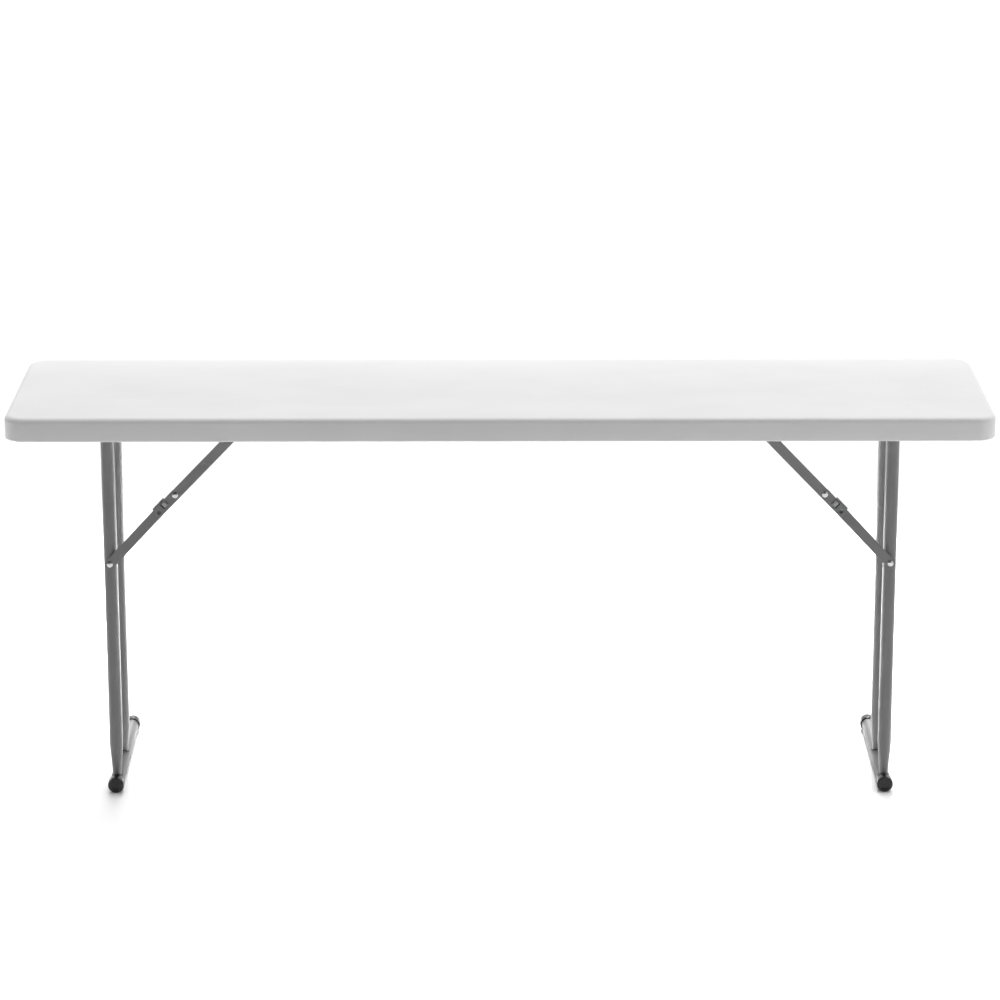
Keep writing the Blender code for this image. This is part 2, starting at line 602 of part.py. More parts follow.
def build_lock(name, side, zinc):
    """Build the lock spring: a leaf behind the tail with a button that stands through the window."""
    place = along_link(BRACE_ANCHOR, BRACE_JOINT)
    joint_at = (BRACE_JOINT - BRACE_ANCHOR).length
    root = joint_at + LEAF_ROOT
    tip = joint_at + BUTTON_FROM_JOINT + BUTTON_LENGTH / 2 + LEAF_TIP_MARGIN
    hinge = place(root, 0)
    parent = pivot_empty(f"lock_pivot_{name}", hinge[0], LEAF_FRONT_Y, hinge[1], side)
    outline = block_outline(place, root, tip,
                            BUTTON_OFFSET - BUTTON_WIDTH / 2, BUTTON_OFFSET + BUTTON_WIDTH / 2)
    leaf = add(f"lock_spring_{name}", extruded(outline, LEAF_FRONT_Y, LEAF_BACK_Y), side, zinc, parent)
    middle = LEAF_FRONT_Y + LEAF_THICKNESS / 2
    boolean(leaf, button_block(place, joint_at, 0.0, UPPER_FRONT_Y - BUTTON_PROUD, middle), "UNION", side)


def build_lower_link(name, side, steel, zinc):
    """Build the lower link with its lock window, and its half of the joint rivet."""
    parent = pivot_empty(f"lower_link_pivot_{name}", BRACE_LOW.x, LOWER_FRONT_Y, BRACE_LOW.y, side)
    place = along_link(BRACE_LOW, BRACE_JOINT)
    length = (BRACE_JOINT - BRACE_LOW).length
    link = add(f"lower_link_{name}", extruded(link_outline(place, length), LOWER_FRONT_Y, LOWER_BACK_Y),
               side, steel, parent)
    rivet_hole = RIVET_SHANK_RADIUS + GAP
    for centre in (BRACE_LOW, BRACE_JOINT):
        boolean(link, turned([(rivet_hole, LOWER_FRONT_Y - SKIN), (rivet_hole, LOWER_BACK_Y + SKIN)], centre),
                side=side)
    window = length - BUTTON_FROM_JOINT
    half = BUTTON_WIDTH / 2
    outline = block_outline(place, window - half, window + half, -BUTTON_OFFSET - half, -BUTTON_OFFSET + half)
    boolean(link, extruded(outline, LOWER_FRONT_Y - LEAF_THICKNESS, LOWER_BACK_Y + LEAF_THICKNESS), side=side)

    front = LOWER_FRONT_Y - GAP - LEAF_THICKNESS
    back = LOWER_BACK_Y + GAP
    profile = [(RIVET_HEAD_RADIUS, front), (RIVET_HEAD_RADIUS, LOWER_FRONT_Y - GAP),
               (RIVET_SHANK_RADIUS, LOWER_FRONT_Y - GAP), (RIVET_SHANK_RADIUS, back),
               (RIVET_HEAD_RADIUS, back), (RIVET_HEAD_RADIUS * RIVET_STAKE, back + RIVET_TAIL_HEIGHT)]
    add(f"joint_rivet_back_{name}", turned(profile, BRACE_JOINT), side, zinc, parent)


def build_anchor(name, side, zinc):
    """Build the shouldered rivet that hangs the upper link on the side rail."""
    front = RAIL_FRONT_Y - GAP
    profile = rivet_profile(front, UPPER_BACK_Y + GAP, [(RAIL_BACK_Y + GAP, UPPER_FRONT_Y - GAP)])
    low_head = [(radius, front + (height - front) * LOW_HEAD if height < front else height)
                for radius, height in profile]
    add(f"brace_anchor_rivet_{name}", turned(low_head, BRACE_ANCHOR), side, zinc)


def main():
    """Build the whole table."""
    clear_scene()
    white_plastic = material("white_polyethylene", (0.79, 0.79, 0.78), 0.45)
    grey_steel = material("grey_powder_coat", (0.19, 0.19, 0.19), 0.45)
    black_plastic = material("black_polypropylene", (0.012, 0.012, 0.012), 0.3)
    zinc = material("zinc_plate", (0.68, 0.69, 0.70), 0.3, 1.0)
    build_top(white_plastic)
    for name, side in SIDES.items():
        build_plates(name, side, grey_steel)
        build_bushes(name, side, black_plastic)
        build_screws(name, side, zinc)
        build_leg(name, side, grey_steel, black_plastic, zinc)
        build_anchor(name, side, zinc)
        build_upper_link(name, side, grey_steel, zinc)
        build_lock(name, side, zinc)
        build_lower_link(name, side, grey_steel, zinc)


main()
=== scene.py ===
"""The looks of a folding training table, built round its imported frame.

A long white blow-moulded top stands on two grey tubular steel legs, and a two-link brace with a
spring lock holds each leg upright. Every visible piece is made afresh here as a fine mesh in the
place that the frame gives it, and rides on the same body as the solid that it stands for.

Metres, +Z up, +X along the table, -Y the side that the braces are on. Both ends are alike, so an
end's pieces are worked out at +X and mirrored for the other one.
"""
import json
import logging
import math
from collections.abc import Callable, Sequence
from dataclasses import dataclass
from enum import Enum

import bmesh
import bpy
import numpy as np
from mathutils import Matrix, Vector
from mathutils.geometry import delaunay_2d_cdt


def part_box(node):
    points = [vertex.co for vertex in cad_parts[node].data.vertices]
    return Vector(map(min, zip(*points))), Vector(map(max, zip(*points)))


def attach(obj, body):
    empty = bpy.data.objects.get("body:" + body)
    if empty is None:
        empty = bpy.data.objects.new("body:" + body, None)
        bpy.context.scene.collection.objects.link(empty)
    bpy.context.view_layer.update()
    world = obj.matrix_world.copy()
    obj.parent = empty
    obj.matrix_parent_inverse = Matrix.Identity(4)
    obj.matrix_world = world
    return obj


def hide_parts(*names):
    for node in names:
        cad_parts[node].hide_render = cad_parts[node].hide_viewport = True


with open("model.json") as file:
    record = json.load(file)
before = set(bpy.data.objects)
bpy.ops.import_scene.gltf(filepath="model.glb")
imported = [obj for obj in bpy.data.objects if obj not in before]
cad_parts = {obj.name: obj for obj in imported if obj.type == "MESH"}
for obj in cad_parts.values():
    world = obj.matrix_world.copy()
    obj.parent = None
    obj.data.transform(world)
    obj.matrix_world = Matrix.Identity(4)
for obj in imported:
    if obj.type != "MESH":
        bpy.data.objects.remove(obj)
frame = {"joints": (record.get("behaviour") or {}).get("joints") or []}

Array = np.ndarray
Surface = Callable[[Array, Array, Array], Array]

MM = 0.001
GAP = 0.3 * MM                  # left between pieces that touch
MERGE = 0.002 * MM              # points closer than this are one point

log = logging.getLogger("folding_table")


class Side(Enum):
    """An end of the table, with the sign of its X."""

    LEFT = -1
    RIGHT = 1

    @property
    def tag(self) -> str:
        """The end's name, as nodes and bodies carry it."""
        return self.name.lower()


class Axis(Enum):
    """Which way a turned piece's axis points."""

    Y = (0, 2, 1)
    Z = (0, 1, 2)


# ---- what the frame gives ------------------------------------------------------------------

def joint_place(name: str) -> Vector:
    """Return where a joint's axis stands at rest."""
    return Vector(next(joint["pos_m"] for joint in frame["joints"] if joint["name"] == name))


def middle_of(node: str) -> Vector:
    """Return the middle of a node's box."""
    low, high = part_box(node)
    return Vector(((low.x + high.x) / 2, (low.y + high.y) / 2, (low.z + high.z) / 2))


def radius_of(node: str) -> float:
    """Return the radius of a node that is round about Y: half its box's height."""
    low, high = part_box(node)
    return (high.z - low.z) / 2


def twin(node: str, side: Side) -> str:
    """Name the node at an end of the table that matches a right-hand one."""
    return node.replace("right", side.tag)


# ---- lines and surfaces --------------------------------------------------------------------

def arc(radius: float, start: float, end: float, steps: int, centre: Sequence[float] = (0.0, 0.0)) -> Array:
    """Work out an arc: the centre plus the radius times (cos a, sin a), a running evenly.

    Args:
        radius: radius of the arc.
        start: first angle, in degrees.
        end: last angle, in degrees.
        steps: number of equal steps.
        centre: centre of the arc.

    Returns:
        The points, one a row.
    """
    angles = np.radians(np.linspace(start, end, steps + 1))
    return np.asarray(centre) + radius * np.stack([np.cos(angles), np.sin(angles)], axis=1)


def softened(corners: Sequence[Sequence[float]], radius: float | Sequence[float], steps: int = 4,
             closed: bool = False) -> Array:
    """Round every corner of a line with a parabola that is tangent to both of its sides.

    The curve at a corner C, from A to B on its two sides, is (1-t)^2 A + 2t(1-t) C + t^2 B, where
    A and B lie a radius from C, or just under half-way along a shorter side.

    Args:
        corners: the line's corners, one a row.
        radius: distance from a corner to the ends of its curve, one for all or one for each.
        steps: steps in each curve.
        closed: whether the last corner joins the first; an open line keeps its two ends.

    Returns:
        The rounded line's points.
    """
    points = np.asarray(corners, float)
    reach = np.broadcast_to(np.asarray(radius, float), len(points))[:, None]

    def beside(other: Array) -> Array:
        step = other - points
        length = np.maximum(np.linalg.norm(step, axis=1, keepdims=True), MERGE)
        return points + step * np.minimum(reach / length, 0.49)

    first, last = beside(np.roll(points, 1, axis=0)), beside(np.roll(points, -1, axis=0))
    t = np.linspace(0, 1, steps + 1)[None, :, None]
    curves = (1 - t) ** 2 * first[:, None] + 2 * t * (1 - t) * points[:, None] + t ** 2 * last[:, None]
    if closed:
        return curves.reshape(-1, points.shape[1])
    return np.vstack([points[:1], curves[1:-1].reshape(-1, points.shape[1]), points[-1:]])


def turned(profile: Array, centre: Sequence[float], axis: Axis, sides: int) -> Array:
    """Carry a profile round an axis: radius times (cos a, sin a) across it, height along it.

    Args:
        profile: (radius, height) rows.
        centre: where the axis crosses the plane across it.
        axis: the way that the axis points.
        sides: points round the circle.

    Returns:
        A grid of points, a ring for every row of the profile.
    """
    angles = np.linspace(0, 2 * math.pi, sides, endpoint=False)
    across = centre[0] + profile[:, :1] * np.cos(angles)
    up = centre[1] + profile[:, :1] * np.sin(angles)
    along = np.repeat(profile[:, 1:2], sides, axis=1)
    return np.stack([across, up, along], axis=-1)[..., list(axis.value)]


def bead(path: Array, outwards: Array, radius: float, ripple: float, pitch: float, sides: int = 10) -> Array:
    """Carry a circle along a closed path; its radius swells and shrinks as a weld's ripples do.

    At each point the circle lies in the plane of e and f, where e is the outward direction less
    its part along the path and f is the path's direction crossed with e. The radius is
    r (1 + ripple cos(2 pi s / pitch)), with s the length along the path.

    Args:
        path: points of the closed path.
        outwards: a direction for each point, away from the pieces joined.
        radius: mean radius.
        ripple: share of the radius by which it swells and shrinks.
        pitch: distance between two ripples.
        sides: points round the circle.

    Returns:
        A grid of points that closes both ways.
    """
    tangent = np.roll(path, -1, axis=0) - np.roll(path, 1, axis=0)
    tangent /= np.linalg.norm(tangent, axis=1, keepdims=True)
    first = outwards - tangent * np.sum(outwards * tangent, axis=1, keepdims=True)
    first /= np.linalg.norm(first, axis=1, keepdims=True)
    second = np.cross(tangent, first)
    lengths = np.linalg.norm(np.roll(path, -1, axis=0) - path, axis=1)
    ripples = max(1, round(lengths.sum() / pitch))
    share = np.concatenate([[0.0], np.cumsum(lengths)[:-1]]) / lengths.sum()
    size = radius * (1 + ripple * np.cos(2 * math.pi * ripples * share))
    angles = np.linspace(0, 2 * math.pi, sides, endpoint=False)
    ring = first[:, None] * np.cos(angles)[None, :, None] + second[:, None] * np.sin(angles)[None, :, None]
    return path[:, None] + ring * size[:, None, None]


def moved_in(loop: Array, distance: float) -> Array:
    """Move a closed anticlockwise loop's points inwards along their mitres.

    A point moves against the sum of its two sides' outward normals over 1 plus their product,
    which keeps the new sides parallel to the old ones.

    Args:
        loop: (u, v) rows.
        distance: how far the sides move; less than nothing moves them outwards.

    Returns:
        The moved loop.
    """
    side = np.roll(loop, -1, axis=0) - loop
    side /= np.linalg.norm(side, axis=1, keepdims=True)
    normal = np.stack([side[:, 1], -side[:, 0]], axis=1)
    before = np.roll(normal, 1, axis=0)
    turn = 1 + np.sum(normal * before, axis=1, keepdims=True)
    return loop - distance * (normal + before) / turn


def filled(loops: Sequence[Array], creases: Sequence[tuple[int, int]] = ()) -> tuple[Array, Array]:
    """Fill a flat outline, less its holes, with Delaunay triangles.

    A triangle is kept if a line from its middle crosses the loops an odd number of times.

    Args:
        loops: the outline first, then the holes, as (u, v) rows in metres.
        creases: pairs of the outline's points that an edge has to join.

    Returns:
        The points and the triangles' corners.
    """
    sizes = [len(loop) for loop in loops]
    starts = np.cumsum([0, *sizes[:-1]])
    edges = np.vstack([start + np.stack([np.arange(size), np.roll(np.arange(size), -1)], axis=1)
                       for start, size in zip(starts, sizes)])
    points = np.vstack(loops)
    given = [Vector(point) for point in (points / MM).tolist()]
    made = delaunay_2d_cdt(given, edges.tolist() + [list(pair) for pair in creases], [], 0, 1e-5)
    corners = np.array([tuple(point) for point in made[0]]) * MM
    triangles = np.array(made[2])
    middle = corners[triangles].mean(axis=1)
    low, high = points[edges[:, 0]], points[edges[:, 1]]
    rise = np.where(high[:, 1] == low[:, 1], MERGE, high[:, 1] - low[:, 1])
    spans = (low[:, 1] > middle[:, 1:]) != (high[:, 1] > middle[:, 1:])
    crossing = low[:, 0] + (middle[:, 1:] - low[:, 1]) * (high[:, 0] - low[:, 0]) / rise
    inside = np.sum(spans & (middle[:, :1] < crossing), axis=1) % 2 == 1
    return corners, triangles[inside]


def flat(at: float) -> Surface:
    """Return the surface on which (u, v, w) is (u, v, at + w)."""
    return lambda u, v, w: np.stack([u, v, at + w], axis=-1)


class Shell:
    """One closed mesh, gathered from grids of points and flat fills."""

    def __init__(self) -> None:
        """Start with nothing."""
        self.points: list[Array] = []
        self.faces: list[list[int]] = []
        self.count = 0

    def _take(self, points: Array, faces: list[list[int]]) -> None:
        """Add points, and faces that number them from the first one added."""
        self.points.append(points.reshape(-1, 3))
        self.faces += faces
        self.count += len(self.points[-1])

    def grid(self, points: Array, around: bool = True, along: bool = False) -> "Shell":
        """Add the quads of a grid, from (i, j) to (i, j+1), (i+1, j+1) and (i+1, j).

        Args:
            points: the grid's points, rows by columns by three.
            around: whether the last column joins the first.
            along: whether the last row joins the first.

        Returns:
            This shell.
        """
        numbers = self.count + np.arange(points.shape[0] * points.shape[1]).reshape(points.shape[:2])
        if around:
            numbers = np.hstack([numbers, numbers[:, :1]])
        if along:
            numbers = np.vstack([numbers, numbers[:1]])
        corners = (numbers[:-1, :-1], numbers[:-1, 1:], numbers[1:, 1:], numbers[1:, :-1])
        self._take(points, np.stack(corners, axis=-1).reshape(-1, 4).tolist())
        return self

    def cap(self, ring: Array) -> "Shell":
        """Close a flat ring of points with one face."""
        self._take(ring, [list(range(self.count, self.count + len(ring)))])
        return self

    def fill(self, loops: Sequence[Array], surface: Surface, depth: float,
             creases: Sequence[tuple[int, int]] = ()) -> "Shell":
        """Fill an outline, less its holes, and lay the fill on a surface.

        Args:
            loops: the outline and the holes, as (u, v) rows.
            surface: turns (u, v, w) into points.
            depth: w of the fill.
            creases: pairs of the outline's points that an edge has to join.

        Returns:
            This shell.
        """
        corners, triangles = filled(loops, creases)
        laid = surface(corners[:, 0], corners[:, 1], np.full(len(corners), depth))
        self._take(laid, (triangles + self.count).tolist())
        return self

    def pressed(self, loops: Sequence[Array], surface: Surface, thickness: float, edge: float,
                creases: Sequence[tuple[int, int]] = ()) -> "Shell":
        """Add a cut sheet whose edges are rounded by a quarter circle on both faces.

        A loop's rows run from the front face to the back one: at an angle a of the quarter circle
        they are moved in by edge (1 - sin a), at a depth of edge (1 - cos a).

        Args:
            loops: the blank's outline, then its holes, all anticlockwise.
            surface: turns (u, v, w) into points, w running from the front face to the back one.
            thickness: of the sheet.
            edge: radius of the rounding.
            creases: pairs of the outline's points that an edge has to join.

        Returns:
            This shell.
        """
        quarter = np.radians(np.linspace(0, 90, 4))
        inset = edge * (1 - np.sin(quarter))
        depth = edge * (1 - np.cos(quarter))
        inset, depth = np.append(inset, inset[::-1]), np.append(depth, thickness - depth[::-1])
        for index, loop in enumerate(loops):
            sign = 1 if index == 0 else -1
            rows = np.stack([moved_in(loop, sign * step) for step in inset])
            level = np.broadcast_to(depth[:, None], rows.shape[:2])
            self.grid(surface(rows[..., 0], rows[..., 1], level))
        faces = [moved_in(loop, (1 if index == 0 else -1) * edge) for index, loop in enumerate(loops)]
        return self.fill(faces, surface, 0.0, creases).fill(faces, surface, thickness, creases)

    def build(self, name: str, body: str, finish: bpy.types.Material, slot: str, node: str | None = None,
              side: Side = Side.RIGHT, sharp: float = 35.0) -> None:
        """Make the mesh whole, turn its faces outwards, dress it and hand it to the frame.

        Args:
            name: the piece's name.
            body: the body that it rides on.
            finish: its material.
            slot: the record's material slot; not used.
            node: the frame's node that it stands for, if any.
            side: the end of the table; the left one is mirrored.
            sharp: edges that turn by more than this many degrees stay crisp.
        """
        data = bpy.data.meshes.new(name)
        data.from_pydata(np.vstack(self.points) * (side.value, 1, 1), [], self.faces)
        whole = bmesh.new()
        whole.from_mesh(data)
        bmesh.ops.remove_doubles(whole, verts=whole.verts, dist=MERGE)
        bmesh.ops.recalc_face_normals(whole, faces=whole.faces)
        open_edges = sum(1 for edge in whole.edges if len(edge.link_faces) != 2)
        triangles = sum(len(face.verts) - 2 for face in whole.faces)
        whole.to_mesh(data)
        whole.free()
        data.shade_smooth()
        data.set_sharp_from_angle(angle=math.radians(sharp))
        data.materials.append(finish)
        piece = bpy.data.objects.new(name, data)
        bpy.context.scene.collection.objects.link(piece)
        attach(piece, body)
        if node:
            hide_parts(node)
        log.info("%s: %d triangles, %d open edges, on %s", name, triangles, open_edges, body)


# ---- finishes ------------------------------------------------------------------------------

def linear(code: str) -> tuple[float, float, float, float]:
    """Turn an sRGB hex colour into linear red, green, blue and alpha."""
    shares = [int(code[place:place + 2], 16) / 255 for place in (1, 3, 5)]
    curved = [share / 12.92 if share <= 0.04045 else ((share + 0.055) / 1.055) ** 2.4 for share in shares]
    return (*curved, 1.0)


def add_node(tree: bpy.types.NodeTree, kind: str, sockets: dict | None = None,
             **settings: object) -> bpy.types.Node:
    """Add a node, set its properties, and fill its sockets with values or other nodes' outputs.

    Args:
        tree: the node tree.
        kind: the node's type, less "ShaderNode".
        sockets: value or output for each socket, by the socket's name or number.
        settings: the node's own properties.

    Returns:
        The node.
    """
    node = tree.nodes.new("ShaderNode" + kind)
    for key, value in settings.items():
        setattr(node, key, value)
    for key, value in (sockets or {}).items():
        if isinstance(value, bpy.types.NodeSocket):
            tree.links.new(value, node.inputs[key])
        else:
            node.inputs[key].default_value = value
    return node


def ramp(tree: bpy.types.NodeTree, value: bpy.types.NodeSocket, low: float, high: float,
         bottom: float, top: float) -> bpy.types.NodeSocket:
    """Carry a value smoothly from one range to another and return the output."""
    sockets = {"Value": value, "From Min": low, "From Max": high, "To Min": bottom, "To Max": top}
    return add_node(tree, "MapRange", sockets, interpolation_type="SMOOTHSTEP").outputs["Result"]


@dataclass(frozen=True)
class Finish:
    """What the finishes share: a Principled material on Object coordinates."""

    name: str
    base: str
    shade: str
    roughness: float

    def make(self) -> bpy.types.Material:
        """Build the material and return it."""
        made = bpy.data.materials.new(self.name)
        made.use_nodes = True
        tree = made.node_tree
        shader = tree.nodes["Principled BSDF"]
        place = tree.nodes.new("ShaderNodeTexCoord").outputs["Object"]
        shader.inputs["Base Color"].default_value = linear(self.base)
        shader.inputs["Roughness"].default_value = self.roughness
        self.dress(tree, shader, place)
        return made

    def noise(self, tree: bpy.types.NodeTree, place: bpy.types.NodeSocket, size: float,
              detail: float = 2.0, stretch: Sequence[float] = (1, 1, 1)) -> bpy.types.NodeSocket:
        """Return a noise whose features are about size metres across, drawn out along each axis."""
        scale = [1 / (size * part) for part in stretch]
        moved = add_node(tree, "Mapping", {"Vector": place, "Scale": scale}).outputs["Vector"]
        return add_node(tree, "TexNoise", {"Vector": moved, "Scale": 1.0, "Detail": detail}).outputs[0]

    def colour(self, tree: bpy.types.NodeTree, shader: bpy.types.Node, share: bpy.types.NodeSocket) -> None:
        """Mix the base colour with the shade by a share."""
        sockets = {0: share, 6: linear(self.base), 7: linear(self.shade)}
        mixed = add_node(tree, "Mix", sockets, data_type="RGBA")
        tree.links.new(mixed.outputs[2], shader.inputs["Base Color"])

    def gloss(self, tree: bpy.types.NodeTree, shader: bpy.types.Node, value: bpy.types.NodeSocket,
              span: tuple[float, float], change: tuple[float, float]) -> None:
        """Let the roughness follow a value: over its span it changes by the two amounts."""
        low, high = self.roughness + change[0], self.roughness + change[1]
        tree.links.new(ramp(tree, value, *span, low, high), shader.inputs["Roughness"])

    def raise_surface(self, tree: bpy.types.NodeTree, shader: bpy.types.Node,
                      layers: Sequence[tuple[bpy.types.NodeSocket, float]]) -> None:
        """Chain bumps into the shader: each layer is a height from 0 to 1 and its depth in metres."""
        normal = None
        for height, depth in layers:
            sockets = {"Height": height, "Distance": depth, "Strength": 1.0}
            if normal is not None:
                sockets["Normal"] = normal
            normal = add_node(tree, "Bump", sockets).outputs["Normal"]
        tree.links.new(normal, shader.inputs["Normal"])

    def dress(self, tree: bpy.types.NodeTree, shader: bpy.types.Node, place: bpy.types.NodeSocket) -> None:
        """Add what is particular to the finish."""
        raise NotImplementedError


@dataclass(frozen=True)
class MouldedPolyethylene(Finish):
    """White high-density polyethylene, blow-moulded against an etched mould.

    The mould gives a satin face with a fine pebble grain, and the cooling skin gives broad, very
    faint clouds and a slow waviness that soft reflections show.
    """

    name: str = "blow_moulded_hdpe_white"
    base: str = "#D5D5D5"
    shade: str = "#D2D2D2"
    roughness: float = 0.46
    grain: float = 1.5 * MM         # width of a pebble
    cloud: float = 120 * MM
    wave: float = 70 * MM
    grain_depth: float = 0.025 * MM
    wave_depth: float = 0.10 * MM

    def dress(self, tree: bpy.types.NodeTree, shader: bpy.types.Node, place: bpy.types.NodeSocket) -> None:
        """Add the clouds, the pebble grain and the waviness."""
        cloud = self.noise(tree, place, self.cloud, 3.0, (1.6, 1, 1))
        self.colour(tree, shader, ramp(tree, cloud, 0.35, 0.7, 0, 1))
        scaled = add_node(tree, "VectorMath", {0: place, "Scale": 1 / self.grain}, operation="SCALE")
        cells = add_node(tree, "TexVoronoi", {"Vector": scaled.outputs[0], "Scale": 1.0, "Randomness": 1.0},
                         feature="SMOOTH_F1")
        pebble = ramp(tree, cells.outputs["Distance"], 0.15, 0.75, 1, 0)
        self.gloss(tree, shader, cloud, (0.3, 0.75), (-0.03, 0.04))
        waves = self.noise(tree, place, self.wave, 1.0)
        self.raise_surface(tree, shader, [(waves, self.wave_depth), (pebble, self.grain_depth)])


@dataclass(frozen=True)
class PowderCoat(Finish):
    """Grey polyester powder coat, baked on steel.

    The powder melts into a semi-gloss skin with a shallow orange peel, and a few grains stay as
    specks. The peel of about 2 mm is what breaks up the edges of reflections. On the tubes that
    lie on the floor a darker, rougher copy of the coat is painted shade, and on the weld beads a
    dark copy is painted shadow at the joints.
    """

    name: str = "grey_powder_coat_on_steel"
    base: str = "#757575"
    shade: str = "#717171"
    roughness: float = 0.25
    peel: float = 2.2 * MM
    speck: float = 0.7 * MM
    cloud: float = 45 * MM
    peel_depth: float = 0.035 * MM
    speck_depth: float = 0.006 * MM

    def dress(self, tree: bpy.types.NodeTree, shader: bpy.types.Node, place: bpy.types.NodeSocket) -> None:
        """Add the orange peel, the specks and a slight change of tone and gloss."""
        cloud = self.noise(tree, place, self.cloud, 2.0)
        speck = self.noise(tree, place, self.speck, 1.0)
        both = add_node(tree, "Math", {0: cloud, 1: speck}, operation="ADD").outputs[0]
        self.colour(tree, shader, ramp(tree, both, 0.5, 1.5, 0, 1))
        self.gloss(tree, shader, cloud, (0.1, 0.9), (-0.03, 0.03))
        peel = self.noise(tree, place, self.peel, 1.5)
        self.raise_surface(tree, shader, [(peel, self.peel_depth), (speck, self.speck_depth)])


@dataclass(frozen=True)
class ZincPlate(Finish):
    """Bright zinc, plated on small steel parts and passivated.

    The bath leaves a soft metallic sheen with a cloudy bluish or straw tint, and the tumbling
    before it leaves short fine scratches. On the lock buttons a darker, duller copy is painted shade.
    """

    name: str = "bright_zinc_plate"
    base: str = "#D9DBDD"
    shade: str = "#C9C8BE"
    roughness: float = 0.27
    cloud: float = 5 * MM
    scratch: float = 0.6 * MM
    scratch_depth: float = 0.006 * MM

    def dress(self, tree: bpy.types.NodeTree, shader: bpy.types.Node, place: bpy.types.NodeSocket) -> None:
        """Add the metal, the tint's clouds and the scratches."""
        shader.inputs["Metallic"].default_value = 1.0
        cloud = self.noise(tree, place, self.cloud, 2.0)
        self.colour(tree, shader, ramp(tree, cloud, 0.35, 0.7, 0, 1))
        scratch = self.noise(tree, place, self.scratch, 2.0, (5, 1, 5))
        self.gloss(tree, shader, scratch, (0.3, 0.7), (-0.06, 0.10))
        self.raise_surface(tree, shader, [(scratch, self.scratch_depth)])


@dataclass(frozen=True)
class SpringSteel(Finish):
    """Spring steel, near black and slightly blue, on a satin rolled strip: the dark colour is painted
    shade in the gap behind the lock's button.

    The strip keeps the fine lines of rolling along its length, which stretch its dull highlight.
    """

    name: str = "blued_spring_steel"
    base: str = "#2C2E31"
    shade: str = "#24252A"
    roughness: float = 0.38
    line: float = 0.4 * MM
    line_depth: float = 0.005 * MM

    def dress(self, tree: bpy.types.NodeTree, shader: bpy.types.Node, place: bpy.types.NodeSocket) -> None:
        """Add the metal, the uneven painted dark colour and the rolling lines."""
        shader.inputs["Metallic"].default_value = 1.0
        line = self.noise(tree, place, self.line, 2.0, (8, 1, 1))
        self.colour(tree, shader, line)
        self.raise_surface(tree, shader, [(line, self.line_depth)])


@dataclass(frozen=True)
class MouldedBlack(Finish):
    """Black plastic, injection-moulded: glossy polypropylene for the feet, satin acetal for bushes.

    Flow from the gate leaves faint swirls of gloss, and use leaves hair scratches.
    """

    name: str = "moulded_black_polypropylene"
    base: str = "#0F0F10"
    shade: str = "#151516"
    roughness: float = 0.24
    swirl: float = 9 * MM
    scratch: float = 0.5 * MM
    scratch_depth: float = 0.008 * MM

    def dress(self, tree: bpy.types.NodeTree, shader: bpy.types.Node, place: bpy.types.NodeSocket) -> None:
        """Add the swirls of gloss and the hair scratches."""
        swirl = self.noise(tree, place, self.swirl, 3.0, (1, 1, 2))
        self.colour(tree, shader, ramp(tree, swirl, 0.35, 0.7, 0, 1))
        self.gloss(tree, shader, swirl, (0.3, 0.7), (-0.04, 0.08))
        scratch = self.noise(tree, place, self.scratch, 2.0, (1, 8, 1))
        self.raise_surface(tree, shader, [(scratch, self.scratch_depth)])


@dataclass(frozen=True)
class Paper(Finish):
    """Seamless white backdrop paper: matt, with the faintest tooth."""

    name: str = "white_backdrop_paper"
    base: str = "#F2F2F2"
    shade: str = "#F0F0F0"
    roughness: float = 0.9
    tooth: float = 4 * MM
    tooth_depth: float = 0.02 * MM

    def dress(self, tree: bpy.types.NodeTree, shader: bpy.types.Node, place: bpy.types.NodeSocket) -> None:
        """Add the tooth."""
        shader.inputs["Specular IOR Level"].default_value = 0.2
        tooth = self.noise(tree, place, self.tooth, 1.0)
        self.raise_surface(tree, shader, [(tooth, self.tooth_depth)])


@dataclass(frozen=True)
class Finishes:
    """Every material, made once."""

    top: bpy.types.Material
    steel: bpy.types.Material
    floor_steel: bpy.types.Material
    weld: bpy.types.Material
    zinc: bpy.types.Material
    spring: bpy.types.Material
    button: bpy.types.Material
    feet: bpy.types.Material
    bushes: bpy.types.Material

    @classmethod
    def make(cls) -> "Finishes":
        """Make the materials and return them."""
        return cls(top=MouldedPolyethylene().make(), steel=PowderCoat().make(),
                   # darker, rougher copy of the coat: painted shade on the tubes that lie on the floor
                   floor_steel=PowderCoat(name="scuffed_powder_coat", base="#565656", shade="#505050",
                                          roughness=0.44).make(),
                   # dark copy of the coat: painted shadow where the beads join the tubes
                   weld=PowderCoat(name="thin_powder_coat_on_weld", base="#2F2F2F", shade="#252525",
                                   roughness=0.35, peel=1.4 * MM).make(),
                   # the spring steel's near-black colour is painted shade in the gap behind the lock's button
                   zinc=ZincPlate().make(), spring=SpringSteel().make(),
                   # darker, duller copy of the zinc: painted shade on the lock buttons
                   button=ZincPlate(name="worn_zinc_plate", base="#97999B", shade="#86878A",
                                    roughness=0.42).make(),
                   feet=MouldedBlack().make(),
                   bushes=MouldedBlack(name="moulded_black_acetal", roughness=0.42).make())


# ---- the top -------------------------------------------------------------------------------

